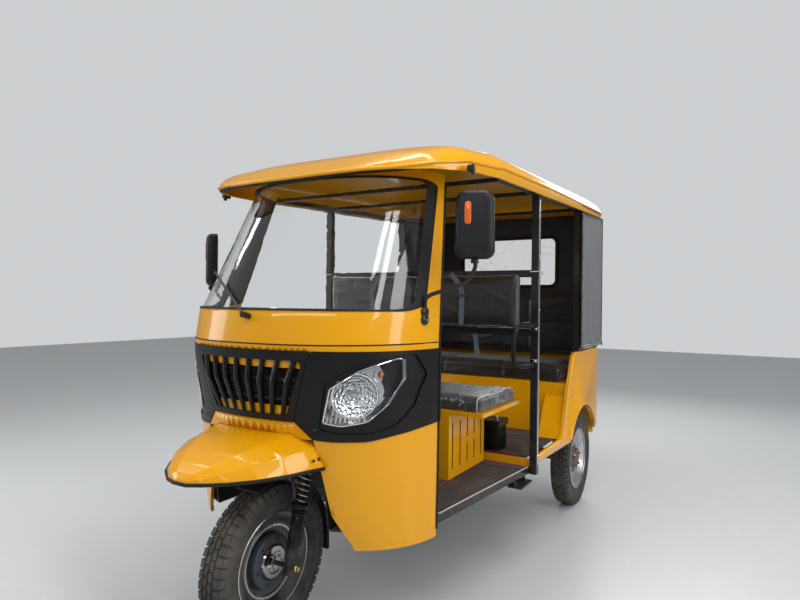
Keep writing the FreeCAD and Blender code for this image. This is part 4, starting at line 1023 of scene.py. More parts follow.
def makeFrontWheelTrim():
    centre = middle("front_tyre")
    drum, plates, edges = newShapes(3)
    for side in (-1, 1):
        axis = Vector((side, 0, 0))
        addTurned(drum, frontWheelTrim["cover"], centre, axis, 64)
        addTurned(plates, frontWheelTrim["disc"], centre, axis, 48)
        addTurned(edges, frontWheelTrim["bead"], centre, axis, 96, closed=True)
        addTurned(edges, frontWheelTrim["lip"], centre, axis, 80, closed=True)
        boltCircle(drum, centre, side, "slatePlastic", frontWheelTrim["coverBolts"], frontWheelTrim["coverBolt"])
        boltCircle(plates, centre, side, "lampSilver", frontWheelTrim["discBolts"], frontWheelTrim["discBolt"])
    finishPiece("frontDrum", drum, "slatePlastic", "front_wheel")
    finishPiece("frontHubDiscs", plates, "lampSilver", "front_wheel")
    finishPiece("frontRimEdges", edges, "rimSilver", "front_wheel")


# Fork: coil springs, lower legs with perforated guards, axle nuts and the stay of the guard
suspension = {
    "legHalf": 0.107,
    "springFrom": 0.227,
    "springTo": 0.376,
    "springRadius": 0.0205,
    "springWire": 0.0042,
    "turns": 7.5,
    # outlines up a leg from the axle, with the radius
    "springSeat": [(0.196, 0.020), (0.200, 0.031), (0.214, 0.032), (0.222, 0.026), (0.226, 0.019)],
    "rubber": [(0.176, 0.0235), (0.182, 0.0275), (0.188, 0.0235), (0.192, 0.0275), (0.197, 0.022)],
    "lowerLeg": [(-0.028, 0.016), (-0.024, 0.021), (0.020, 0.022), (0.030, 0.0235), (0.172, 0.0235),
                 (0.178, 0.020)],
    "axleNut": [(0.0235, 0.0120), (0.0345, 0.0120), (0.0360, 0.0085), (0.0430, 0.0080)],
    "guardFrom": 0.075,
    "guardTo": 0.165,
    "guardRows": 9,
    "guardColumns": 4,
    "guardTurns": (-62, 38),
    "guardRadius": 0.0285,
    "guardWire": 0.0013,
    "stay": [(0.052, 0.075, 0.572), (0.070, 0.060, 0.560), (0.083, 0.052, 0.530), (0.084, 0.050, 0.480)],
    "stayFoot": 0.150,
    "stayRadius": 0.0055,
}


def legPoint(side, along):
    # A place on a fork leg, counted up from the axle
    return frontAxle + Vector((side * suspension["legHalf"], 0, 0)) + steerWay * along


def legGuard(side):
    # The grid of a lattice plate, bent round the leg's outer front
    rows, columns = suspension["guardRows"], suspension["guardColumns"]
    firstTurn, lastTurn = suspension["guardTurns"]
    forward = Vector((0, -steerWay.z, steerWay.y))
    grid = []
    for r in range(rows + 1):
        along = suspension["guardFrom"] + (suspension["guardTo"] - suspension["guardFrom"]) * r / rows
        row = []
        for c in range(columns + 1):
            turn = math.radians(firstTurn + (lastTurn - firstTurn) * c / columns)
            outward = Vector((side, 0, 0)) * math.cos(turn) + forward * math.sin(-turn)
            row.append(legPoint(side, along) + outward * suspension["guardRadius"])
        grid.append(row)
    return grid


def makeSuspension():
    lean = Matrix.Rotation(-steerRake, 4, "X")
    springs, legs, sleeves, guards, nuts, stays = newShapes(6)
    coil = {"Turns": suspension["turns"], "Radius": suspension["springRadius"], "Wire": suspension["springWire"],
            "Height": suspension["springTo"] - suspension["springFrom"]}
    for side in (-1, 1):
        base = legPoint(side, 0.0)
        addMesh(springs, growMesh(coilTree, coil, "springSteel"),
                Matrix.Translation(legPoint(side, suspension["springFrom"])) @ lean)
        addTurned(sleeves, suspension["springSeat"], base, steerWay, 32)
        addTurned(sleeves, suspension["rubber"], base, steerWay, 32)
        addTurned(legs, suspension["lowerLeg"], base, steerWay, 32)
        grid = legGuard(side)
        for line in grid + [list(column) for column in zip(*grid)]:
            addTube(guards, line, suspension["guardWire"], 6)
        addTurned(nuts, suspension["axleNut"], base, Vector((side, 0, 0)), 6)
        path = [spot(side * x, y, z) for x, y, z in suspension["stay"]]
        path.append(legPoint(side, suspension["stayFoot"]) + Vector((-side * 0.020, 0, 0)))
        addTube(stays, smoothPath(path), suspension["stayRadius"], 8, squash=0.5)
    coils = finishPiece("forkCoils", springs, "springSteel", "fork", sharpAngle=60)
    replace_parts(coils, "fork_springs")
    finishPiece("forkSpringSeats", sleeves, "blackPaint", "fork")
    finishPiece("forkLowerLegs", legs, "blackPaint", "fork")
    finishPiece("forkLegGuards", guards, "blackPaint", "fork")
    finishPiece("forkAxleNuts", nuts, "brass", "fork", sharpAngle=20)
    finishPiece("forkGuardStays", stays, "tankGrey", "fork")


# Handlebar: grips, levers and the switch boxes
handlebarTrim = {
    "tip": (0.330, 0.4446, 1.1237),
    "bend": (0.1155, 0.3211, 1.1237),
    "gripRibs": 16,
    "gripEnd": [(-0.120, 0.018), (-0.117, 0.0165)],     # along the bar from its tip, and the radius
    "gripTip": [(0.003, 0.0165), (0.006, 0.010)],
    "switchBox": [(-0.175, 0.017), (-0.170, 0.024), (-0.132, 0.024), (-0.126, 0.018)],
    "lever": [(0.150, 0.022), (0.110, 0.048), (0.060, 0.056), (0.008, 0.050)],      # back from the tip, and ahead
    "leverRadius": 0.0048,
    "leverBall": 0.008,
}


def makeHandlebarTrim():
    grips, metal, boxes = newShapes(3)
    ribs = [(-0.112 + 0.007 * k, 0.0150 + 0.0012 * (k % 2)) for k in range(handlebarTrim["gripRibs"])]
    ahead = Vector((0, -1, 0))
    for side in (-1, 1):
        tip, bend = [spot(side * x, y, z) for x, y, z in (handlebarTrim["tip"], handlebarTrim["bend"])]
        way = (tip - bend).normalized()
        addTurned(grips, handlebarTrim["gripEnd"] + ribs + handlebarTrim["gripTip"], tip, way, 24)
        addTurned(boxes, handlebarTrim["switchBox"], tip, way, 20)
        lever = [tip - way * back + ahead * out for back, out in handlebarTrim["lever"]]
        addTube(metal, smoothPath(lever), handlebarTrim["leverRadius"], 8)
        addBall(metal, lever[-1], handlebarTrim["leverBall"])
    finishPiece("handlebarGrips", grips, "sealRubber", "fork")
    finishPiece("handlebarSwitches", boxes, "greyPlastic", "fork")
    finishPiece("handlebarLevers", metal, "brightStrip", "fork")


makeTyre("front_tyre", "front_wheel")
makeTyre("rear_tyre_left", "rear_wheel_left")
makeTyre("rear_tyre_right", "rear_wheel_right")
makeRearWheelTrim("rear_tyre_left", "rear_wheel_left", 1)
makeRearWheelTrim("rear_tyre_right", "rear_wheel_right", -1)
makeFrontWheelTrim()
makeSuspension()
makeHandlebarTrim()
print("wheels and fork made")


# Seats: each pad is swollen by a cloth simulation, creased and sewn, and held to what it rests on
seats = {
    "voxel": 0.008,
    "pressure": 4.0,
    "frames": 20,
    "shrink": 0.007,
    "pads": {
        "driver_cushion": {"cap": 0.012, "crease": 0.0022, "rests": "z", "fill": 0.8, "seams": []},
        "driver_backrest": {"cap": 0.012, "crease": 0.0030, "rests": "y", "fill": 0.7,
                            "seams": [("x", 0.0, 0.004)]},
        "bench_cushion": {"cap": 0.024, "crease": 0.0028, "rests": "z", "fill": 0.8,
                          "seams": [("x", -0.20, 0.007), ("x", 0.20, 0.007)]},
        "bench_backrest": {"cap": 0.024, "crease": 0.0034, "rests": "y", "fill": 0.7,
                           "seams": [("x", -0.20, 0.007), ("x", 0.20, 0.007), ("z", 1.10, 0.006)]},
    },
    "seamWidth": 0.012,
    "creaseScale": 7.0,
    # pad, axis square to the line, its shift from the pad's middle, gap and radius
    "benchPiping": [("bench_cushion", "z", 0.020, 0.0005, 0.0042), ("bench_backrest", "y", -0.026, 0.0005, 0.0042)],
    "backPiping": [("driver_backrest", "y", -0.016, 0.001, 0.0026)],
    "pipingStep": 0.012,
}
film = {
    "gap": 0.0030,
    "thickness": 0.0004,
    "crease": 0.0060,
    "creaseScale": 16.0,
    "bunchedFrom": (0.40, 0.13),    # half width where the ends bunch up, and over what length
    "wrapped": 0.12,                # what goes round the cushion's edges
    "seamInset": 0.034,
    "seamRadius": 0.0015,
}
axisIndex = {"x": 0, "y": 1, "z": 2}
bendShifts = ((9.3, -1.5, -8.0), (0.0, 0.0, 0.0), (6.3, 0.2, -2.7))     # one fixed noise for each direction


def creaseHeight(p, scale):
    # Long soft folds with sharp crests, from 0 to 1
    bend = Vector([wander.noise(p * scale * 0.6 + Vector(shift)) for shift in bendShifts]) * 0.35
    folds = wander.noise(Vector((p.x * 0.7, p.y * 1.2, p.z * 1.6)) * scale + bend)
    return max(0.0, 1.0 - abs(folds) * 3.2) ** 2


def startPad(node, plan):
    low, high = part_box(node)
    size = high - low
    centre = (low + high) / 2
    shape = bmesh.new()
    shape.from_mesh(nodes[node].data)
    bmesh.ops.remove_doubles(shape, verts=shape.verts, dist=1e-5)
    for vert in shape.verts:
        for k in range(3):
            shrink = (size[k] - 2 * seats["shrink"]) / size[k]
            anchor = centre[k]
            if k == axisIndex[plan["rests"]]:
                anchor = low[k] if plan["rests"] == "z" else high[k]
                shrink = (size[k] - seats["shrink"]) / size[k]
            vert.co[k] = anchor + (vert.co[k] - anchor) * shrink
    mesh = bpy.data.meshes.new(node)
    shape.to_mesh(mesh)
    shape.free()
    block = newObject(node + "_block", mesh)
    remesh = block.modifiers.new("cells", "REMESH")
    remesh.mode = "VOXEL"
    remesh.voxel_size = seats["voxel"]
    voxels = bpy.data.meshes.new_from_object(block.evaluated_get(bpy.context.evaluated_depsgraph_get()))
    bpy.data.objects.remove(block)
    pad = newObject(node + "_pad", voxels)
    cloth = pad.modifiers.new("swell", "CLOTH")
    cloth.settings.quality = 4
    cloth.settings.use_pressure = True
    cloth.settings.uniform_pressure_force = seats["pressure"]
    cloth.settings.effector_weights.gravity = 0
    cloth.point_cache.frame_end = seats["frames"]
    return pad, [vert.co.copy() for vert in voxels.vertices]


def finishPad(node, plan, pad, start):
    low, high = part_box(node)
    rest = axisIndex[plan["rests"]]
    swollen = bpy.data.meshes.new_from_object(pad.evaluated_get(bpy.context.evaluated_depsgraph_get()))
    pad.modifiers.clear()
    pad.data = swollen
    mesh = pad.data
    normals = [vert.normal.copy() for vert in mesh.vertices]
    for vert, first, normal in zip(mesh.vertices, start, normals):
        moved = vert.co - first
        if moved.length > plan["cap"]:
            moved *= plan["cap"] / moved.length
        place = first + moved + normal * (creaseHeight(first, seats["creaseScale"]) * plan["crease"])
        for axis, value, depth in plan["seams"]:
            away = (first[axisIndex[axis]] - value) / seats["seamWidth"]
            place -= normal * (depth * math.exp(-away * away))
        if plan["rests"] == "z":
            place[rest] = max(place[rest], low[rest])
        else:
            place[rest] = min(place[rest], high[rest])
        vert.co = place
    mesh.materials.clear()
    mesh.materials.append(look["seatVinyl"])
    mesh.polygons.foreach_set("use_smooth", [True] * len(mesh.polygons))
    smooth = pad.modifiers.new("smooth", "SUBSURF")
    smooth.levels = smooth.render_levels = 1
    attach(pad, "body")
    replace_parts(pad, node)
    return pad


def padSurface(pad):
    mesh = pad.data
    return BVHTree.FromPolygons([v.co.copy() for v in mesh.vertices], [list(p.vertices) for p in mesh.polygons])


def loopRound(surface, centre, axis, count, gap, reach=1.4):
    # A closed line round a pad, square to an axis, set a little off its surface
    across = axis.orthogonal().normalized()
    other = axis.cross(across)
    path = []
    for k in range(count):
        t = 2 * math.pi * k / count
        way = across * math.cos(t) + other * math.sin(t)
        place, _, _, _ = surface.ray_cast(centre + way * reach, -way, reach * 2)
        if place is not None:
            path.append(place + way * gap)
    return path


def evenLoop(path, step):
    # Points at even steps along a closed line, so that a tube on it stays smooth
    lengths = [(path[(i + 1) % len(path)] - p).length for i, p in enumerate(path)]
    total = sum(lengths)
    count = max(12, int(total / step))
    even = []
    i, gone = 0, 0.0
    for k in range(count):
        goal = total * k / count
        while gone + lengths[i] < goal:
            gone += lengths[i]
            i += 1
        share = (goal - gone) / max(lengths[i], 1e-9)
        even.append(path[i].lerp(path[(i + 1) % len(path)], share))
    return even


def makePiping(name, lines, pads, finish):
    shape = bmesh.new()
    for node, axis, offset, gap, radius in lines:
        low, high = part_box(node)
        centre = (low + high) / 2
        centre[axisIndex[axis]] += offset
        way = Vector([1.0 if k == axisIndex[axis] else 0.0 for k in range(3)])
        path = loopRound(padSurface(pads[node]), centre, way, 720, gap)
        addTube(shape, evenLoop(path, seats["pipingStep"]), radius, 6, closed=True)
    finishPiece(name, shape, finish)


def makeFilm(pad):
    # The clear wrapping on the driver's cushion, and its white welded seams at both ends
    wrapped = pad.data.copy()
    low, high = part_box("driver_cushion")
    bunchedFrom, bunchedOver = film["bunchedFrom"]
    normals = [vert.normal.copy() for vert in wrapped.vertices]
    for vert, normal in zip(wrapped.vertices, normals):
        ends = max(0.0, (abs(vert.co.x) - bunchedFrom) / bunchedOver)
        crease = creaseHeight(vert.co, film["creaseScale"]) * (0.45 + ends)
        if vert.co.z > low.z + 0.004:
            vert.co += normal * (film["gap"] + crease * film["crease"])
    wrapped.materials.clear()
    wrapped.materials.append(look["clearFilm"])
    wrap = newObject("cushionFilm", wrapped)
    surface = padSurface(wrap)
    cover = bmesh.new()
    cover.from_mesh(wrapped)
    under = [face for face in cover.faces if face.calc_center_median().z < low.z + 0.005]
    bmesh.ops.delete(cover, geom=under, context="FACES")
    filmArea = sum(face.calc_area() for face in cover.faces)
    cover.to_mesh(wrapped)
    cover.free()
    wall = wrap.modifiers.new("thickness", "SOLIDIFY")
    wall.thickness = film["thickness"]
    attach(wrap, "body")
    seams = bmesh.new()
    for side in (-1, 1):
        centre = Vector((side * (high.x - film["seamInset"]), (low.y + high.y) / 2, (low.z + high.z) / 2))
        path = evenLoop(loopRound(surface, centre, Vector((1, 0, 0)), 400, 0.0), 0.010)
        addTube(seams, path, film["seamRadius"], 6, closed=True)
    finishPiece("filmSeams", seams, "whitePlastic")


def makeSeats():
    started = {node: startPad(node, plan) for node, plan in seats["pads"].items()}
    for frameNumber in range(1, seats["frames"] + 1):
        bpy.context.scene.frame_set(frameNumber)
    pads = {node: finishPad(node, seats["pads"][node], pad, start) for node, (pad, start) in started.items()}
    print("seat pads made")
    makePiping("benchPiping", seats["benchPiping"], pads, "seatVinyl")
    makePiping("backPadPiping", seats["backPiping"], pads, "brightStrip")
    makeFilm(pads["driver_cushion"])


# Straps that lie on the driver's back pad and hang behind it
straps = {
    "width": 0.026,
    "thickness": 0.0016,
    "proud": 0.0065,
    "behind": 0.004,
    "front": [(0.205, 1.376), (0.232, 1.350), (0.268, 1.290), (0.268, 1.230), (0.266, 1.120)],
    "rear": [(0.300, 1.110), (0.313, 1.060), (0.328, 0.955)],
}


def addStrap(shape, points, width, thickness, facing):
    rings = []
    for i, point in enumerate(points):
        ahead = (points[min(i + 1, len(points) - 1)] - points[max(i - 1, 0)]).normalized()
        across = ahead.cross(facing).normalized() * (width / 2)
        lift = facing * (thickness / 2)
        rings.append([point - across - lift, point + across - lift, point + across + lift, point - across + lift])
    addRings(shape, rings)


def makeStraps():
    shape = bmesh.new()
    low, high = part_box("driver_backrest")
    runs = ((straps["front"], low.y - straps["proud"], 6), (straps["rear"], high.y + straps["behind"], 3))
    for side in (-1, 1):
        for places, y, steps in runs:
            path = smoothPath([Vector((side * x, y, z)) for x, z in places], steps)
            addStrap(shape, path, straps["width"], straps["thickness"], Vector((0, -1, 0)))
    strips = finishPiece("backPadStraps", shape, "strapCloth")


# Curtains and the cloth back wall, as sheets with folds, hems, snaps and an aluminium foot bar
curtains = {
    "columns": 64,
    "rows": 96,
    "fold": 0.0050,
    "thickness": 0.0016,
    "inset": 0.004,
    "topDrop": 0.0205,          # how much lower the top is in front
    "hem": 0.0022,
    "hemDrop": 0.021,
    "stitch": 0.0007,
    "stitchShare": 0.035,       # how far the stitches lie from the hem to the middle
    "snapCount": 7,
    "snapSpan": (0.08, 0.06),   # first snap above the foot, last one below the top
    "barHalf": 0.005,
    "barHeight": 0.014,
    "hook": [(0.004, 0.010), (0.007, -0.004), (0.002, -0.014)],     # outwards, and up from the curtain's foot
    "hookRadius": 0.0028,
}


def curtainFold(p):
    low = max(0.0, 1.35 - p.z) / 0.40
    slow = wander.noise(Vector((p.y * 5.0, p.z * 1.3, p.x * 9.0)))
    return slow * 0.55 + creaseHeight(p, 5.0) * (0.20 + 0.55 * low)


def sheetPiece(name, shape, thickness, finish, node, offset=-1.0):
    # An open sheet, shaded smoothly, that gets its wall from a live modifier
    mesh = bpy.data.meshes.new(name)
    shape.to_mesh(mesh)
    shape.free()
    mesh.materials.append(look[finish])
    mesh.polygons.foreach_set("use_smooth", [True] * len(mesh.polygons))
    piece = newObject(name, mesh)
    wall = piece.modifiers.new("thickness", "SOLIDIFY")
    wall.thickness = thickness
    wall.offset = offset
    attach(piece, "body")
    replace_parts(piece, node)
    return piece


def makeCurtain(side, label):
    low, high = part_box("side_curtains")
    x, front, rear = side * (high.x - curtains["inset"]), low.y, high.y
    columns, rows = curtains["columns"], curtains["rows"]
    shape, hems = newShapes(2)
    grid = []
    for r in range(rows + 1):
        row = []
        for c in range(columns + 1):
            y = front + (rear - front) * c / columns
            topZ = high.z - curtains["topDrop"] * (1 - c / columns)
            z = low.z + (topZ - low.z) * r / rows
            held = min(1.0, min(c, columns - c) / 6) * min(1.0, (rows - r) / 8)
            fold = curtainFold(Vector((x, y, z))) * curtains["fold"] * held
            row.append(shape.verts.new((x - side * 0.002 + side * fold, y, z)))
        grid.append(row)
    skinGrid(shape, grid)
    bmesh.ops.recalc_face_normals(shape, faces=shape.faces)
    curtain = sheetPiece("curtain_" + label, shape, curtains["thickness"], "curtainCloth", "side_curtains")
    corners = [Vector((x, front, low.z)), Vector((x, front, high.z - curtains["hemDrop"])), Vector((x, rear, high.z)),
               Vector((x, rear, low.z))]
    centre = sum(corners, Vector()) / 4
    for start, end in zip(corners, corners[1:]):
        path = [start.lerp(end, k / 30) for k in range(31)]
        addTube(hems, path, curtains["hem"], 6)
        stitched = [p.lerp(centre, curtains["stitchShare"]) + Vector((side * 0.0012, 0, 0)) for p in path]
        addTube(hems, stitched, curtains["stitch"], 5)
    hemPiece = finishPiece("curtainHems_" + label, hems, "innerCloth")


def makeCurtains():
    low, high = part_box("side_curtains")
    bars, hooks = newShapes(2)
    snaps = []
    firstSnap, lastSnap = low.z + curtains["snapSpan"][0], high.z - curtains["snapSpan"][1]
    for side, label in ((-1, "right"), (1, "left")):
        makeCurtain(side, label)
        x, out = side * (high.x - curtains["inset"]), Vector((side, 0, 0))
        addBox(bars, (x - curtains["barHalf"], low.y - 0.004, low.z - 0.004),
               (x + curtains["barHalf"], high.y + 0.004, low.z + curtains["barHeight"]))
        for y in (low.y + 0.010, high.y - 0.010):
            path = [Vector((x + side * away, y, low.z + lift)) for away, lift in curtains["hook"]]
            addTube(hooks, smoothPath(path, 4), curtains["hookRadius"], 6)
            snaps.append((Vector((x + side * 0.0055, y, low.z + 0.006)), out))
        for k in range(curtains["snapCount"]):
            z = firstSnap + (lastSnap - firstSnap) * k / (curtains["snapCount"] - 1)
            snaps.append((Vector((x + side * 0.0015, low.y + 0.012, z)), out))
    finishPiece("curtainBars", bars, "brightStrip", bevel=0.001)
    finishPiece("curtainHooks", hooks, "blackPaint")
    headsPiece("curtainSnaps", snaps, "blackPaint", sides=14, radius=0.0065, top=0.0045, height=0.003)


backWall = {
    "columns": 130,
    "rows": 84,
    "fold": 0.0030,
    "thickness": 0.0020,
    "windowCorner": 0.045,
    "windowEdge": 0.004,
    "pipingRadius": 0.0055,
    "pipingGrow": 0.006,
    "bandGrow": (-0.010, 0.014),    # inner and outer line of the rubber band, from the window's outline
    "bandFace": 0.0035,
    "bandThickness": 0.0016,
}


def windowOutline(grow, steps=10):
    low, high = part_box("rear_window")
    inset = backWall["windowCorner"]
    corner = inset + grow
    points = []
    centres = [(high.x - inset, high.z - inset), (low.x + inset, high.z - inset), (low.x + inset, low.z + inset),
               (high.x - inset, low.z + inset)]
    for quarter, (cx, cz) in enumerate(centres):
        for k in range(steps + 1):
            t = math.pi / 2 * (quarter + k / steps)
            points.append((cx + corner * math.cos(t), cz + corner * math.sin(t)))
    return points


def makeBackWall():
    low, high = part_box("rear_wall")
    windowLow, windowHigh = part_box("rear_window")
    y = (low.y + high.y) / 2
    edge = backWall["windowEdge"]
    shape, border = newShapes(2)
    grid = []
    for c in range(backWall["columns"] + 1):
        x = low.x + 0.001 + (high.x - low.x - 0.002) * c / backWall["columns"]
        place, _, _, _ = wallSurface.ray_cast(Vector((x, y, high.z + 0.2)), Vector((0, 0, -1)), 2.0)
        topZ = place.z if place is not None else high.z
        column = []
        for r in range(backWall["rows"] + 1):
            z = low.z + (topZ - low.z) * r / backWall["rows"]
            fold = wander.noise(Vector((x * 4.0, 3.1, z * 4.0))) * 0.7 + creaseHeight(Vector((x, 0.4, z)), 5.0) * 0.6
            column.append(shape.verts.new((x, y + fold * backWall["fold"], z)))
        grid.append(column)
    for first, second in zip(grid, grid[1:]):
        for r in range(backWall["rows"]):
            corners = (first[r], second[r], second[r + 1], first[r + 1])
            x, z = [sum(v.co[k] for v in corners) / 4 for k in (0, 2)]
            if windowLow.x + edge < x < windowHigh.x - edge and windowLow.z + edge < z < windowHigh.z - edge:
                continue
            shape.faces.new(corners)
    bmesh.ops.delete(shape, geom=[vert for vert in shape.verts if not vert.link_faces], context="VERTS")
    wallArea = sum(face.calc_area() for face in shape.faces)
    cloth = sheetPiece("backWallCloth", shape, backWall["thickness"], "innerCloth", "rear_wall", offset=0)

    inner, outer = [windowOutline(grow) for grow in backWall["bandGrow"]]
    for side in (-1, 1):
        ring = [Vector((px, y + side * 0.004, pz)) for px, pz in windowOutline(backWall["pipingGrow"])]
        addTube(border, ring, backWall["pipingRadius"], 8, closed=True)
    for side in (-1, 1):
        face = y + side * backWall["bandFace"]
        back = face + side * backWall["bandThickness"]
        rings = [[Vector((ix, face, iz)), Vector((ox, face, oz)), Vector((ox, back, oz)), Vector((ix, back, iz))]
                 for (ix, iz), (ox, oz) in zip(inner, outer)]
        addRings(border, rings, closed=True)
    frameRing = finishPiece("backWindowFrame", border, "sealRubber")


makeSeats()
makeStraps()
makeCurtains()
makeBackWall()
print("seats, curtains and back wall made")


# Mirrors: rounded shells on bent arms, with a glass behind and a marker in front
mirrors = {
    "places": [(0.672, 0.322, 1.512, 22.0, 1), (0.672, 0.322, 1.418, 41.0, -1)],   # x, y, z, turn and side
    "halfWidth": 0.072,
    "halfHeight": 0.122,
    "halfDepth": 0.026,
    "topNarrow": 0.93,
    # share of the half depth, growth of the outline and its corners
    "shell": [(1.0, -0.010, 0.026), (1.0, -0.003, 0.032), (0.88, 0.0, 0.034), (-0.20, 0.0, 0.034),
              (-0.62, -0.005, 0.032), (-0.88, -0.014, 0.028), (-1.0, -0.028, 0.022)],
    "glassEdge": 0.012,
    "glassCorner": 0.025,
    "glassFaces": (0.0002, 0.0014),
    "marker": (-0.025, 0.039, 0.0115, 0.041),       # place on the shell, half width and half height
    "markerShell": [(0.985, 0.0), (1.06, -0.0004), (1.10, -0.003)],
    "armRadius": 0.0075,
    "bends": [(0.05, 0.0, 0.30), (0.42, 0.50, 0.44), (0.75, 1.0, 0.56), (1.0, 1.0, 0.80)],
    "collar": [(0, 0.014), (0.012, 0.014), (0.015, 0.011), (0.015, 0.002)],
    "foot": (0.250, 1.186),
    "footSlab": [(0.0008, 0.019), (0.006, 0.019), (0.009, 0.015), (0.009, 0.002)],
}


def roundedOutline(halfWidth, halfHeight, corner, narrow=1.0, steps=8):
    points = []
    for quarter, (sx, sz) in enumerate(((1, 1), (-1, 1), (-1, -1), (1, -1))):
        for k in range(steps + 1):
            t = math.pi / 2 * (quarter + k / steps)
            x = sx * (halfWidth - corner) + corner * math.cos(t)
            z = sz * (halfHeight - corner) + corner * math.sin(t)
            share = (z + halfHeight) / (2 * halfHeight)
            points.append((x * (1 + (narrow - 1) * share), z))
    return points


def makeMirrors():
    shells, glasses, markers, arms, feet = newShapes(5)
    bolts = []
    m = mirrors
    for x, y, z, turn, side in m["places"]:
        spin = Matrix.Rotation(math.radians(turn), 3, "Z")
        centre = spot(x, y, z)

        def placed(a, b, c):
            p = spin @ Vector((a, b, c)) + centre
            return Vector((p.x * side, p.y, p.z))

        def shellRing(depth, grow, corner):
            outline = roundedOutline(m["halfWidth"] + grow, m["halfHeight"] + grow, corner, m["topNarrow"])
            return [placed(px, depth, pz) for px, pz in outline]

        def markerRing(depth, grow):
            markerX, markerZ, width, height = m["marker"]
            outline = roundedOutline(width + grow, height + grow, width + grow - 0.0005)
            return [placed(px + markerX, depth, pz + markerZ) for px, pz in outline]

        addRings(shells, [shellRing(share * m["halfDepth"], grow, corner) for share, grow, corner in m["shell"]])
        addRings(glasses, [shellRing(m["halfDepth"] + face, -m["glassEdge"], m["glassCorner"])
                           for face in m["glassFaces"]])
        addRings(markers, [markerRing(-share * m["halfDepth"], grow) for share, grow in m["markerShell"]])
        bottom = placed(0, 0, -m["halfHeight"] + 0.006)
        foot = spot(0, *m["foot"])
        hit, way, _, _ = cabSurface.ray_cast(Vector((side * 1.2, foot.y, foot.z)), Vector((-side, 0, 0)), 2.0)
        foot.x = hit.x
        way = way if way.x * side > 0 else -way
        span = bottom - foot
        path = [foot + Vector((side * 0.006, 0, 0))]
        path += [foot + Vector((span.x * a, span.y * b, span.z * c)) for a, b, c in m["bends"]]
        path.append(bottom)
        addTube(arms, smoothPath(path, 7), m["armRadius"], 12)
        addTurned(arms, m["collar"], bottom - up * 0.022, up, 20)
        for lift in (0.012, -0.016):
            addTurned(feet, m["footSlab"], foot + up * lift, way, 20)
        bolts.append((foot + Vector((side * 0.0105, 0, -0.016)), way))
    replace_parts(finishPiece("mirrorShells", shells, "greyPlastic", sharpAngle=50), "mirrors")
    finishPiece("mirrorGlasses", glasses, "chrome")
    finishPiece("mirrorMarkers", markers, "orangeLens", sharpAngle=60)
    finishPiece("mirrorArms", arms, "blackPaint")
    finishPiece("mirrorFeet", feet, "blackPaint")
    headsPiece("mirrorBolts", bolts, "chrome", sides=6, radius=0.0065, top=0.0058, height=0.004)


# Small fittings on the pillars, floors and step, and a plate of painted shade inside the seat base
pillarTrim = {
    "middle": 1.170,                # from the front axle
    "strip": (0.6385, 0.016, 0.0012, 0.455, 1.730),     # x, width, thickness, foot and head
    "stripScrews": [0.50, 0.72, 0.86, 1.20, 1.46, 1.68],
    "tie": [(0.6023, -0.018725), (0.6400, -0.018725), (0.6400, 0.018725), (0.6023, 0.018725)],
    "tieHeight": 1.385,
    "tieRadius": 0.0055,
    "tieTail": [(0.643, 0.012, 0.004), (0.647, 0.024, -0.004), (0.646, 0.026, -0.024)],
    "tieTailRadius": 0.0038,
    "clampHeights": [0.955, 1.110],
    "clamp": (0.6015, 0.6415, 0.021, 0.0175, 0.009),    # inner and outer x, front and back, half height
    "clampScrew": (0.630, 0.0225),
}


def addSideBox(shape, side, low, high):
    # A box on one side of the vehicle, given as on the left
    first, last = sorted((side * low[0], side * high[0]))
    addBox(shape, (first, low[1], low[2]), (last, high[1], high[2]))


def makePillarFittings():
    bright, white, clamps = newShapes(3)
    screws = []
    p = pillarTrim
    middleY = spot(0, p["middle"], 0).y
    x, width, thickness, foot, head = p["strip"]
    clampIn, clampOut, clampFront, clampBack, clampHalf = p["clamp"]
    screwX, screwAhead = p["clampScrew"]
    for side in (-1, 1):
        addSideBox(bright, side, (x, middleY - width / 2, foot), (x + thickness, middleY + width / 2, head))
        for z in p["stripScrews"]:
            screws.append((Vector((side * (x + 0.0022), middleY, z)), Vector((side, 0, 0))))
        tie = [Vector((side * tieX, middleY + tieY, p["tieHeight"])) for tieX, tieY in p["tie"]]
        addTube(white, tie, p["tieRadius"], 6, closed=True, squash=0.35)
        tail = [Vector((side * tailX, middleY + tailY, p["tieHeight"] + lift)) for tailX, tailY, lift in p["tieTail"]]
        addTube(white, smoothPath(tail, 4), p["tieTailRadius"], 6, squash=0.4)
        for z in p["clampHeights"]:
            addSideBox(clamps, side, (clampIn, middleY - clampFront, z - clampHalf),
                       (clampOut, middleY - clampBack, z + clampHalf))
            screws.append((Vector((side * screwX, middleY - screwAhead, z)), Vector((0, -1, 0))))
    finishPiece("pillarStrips", bright, "brightStrip", bevel=0.0004)
    finishPiece("pillarTies", white, "whitePlastic")
    finishPiece("handleClamps", clamps, "chrome", bevel=0.0008)
    headsPiece("pillarScrews", screws, "chrome", sides=14, radius=0.0042, top=0.0026, height=0.0022)


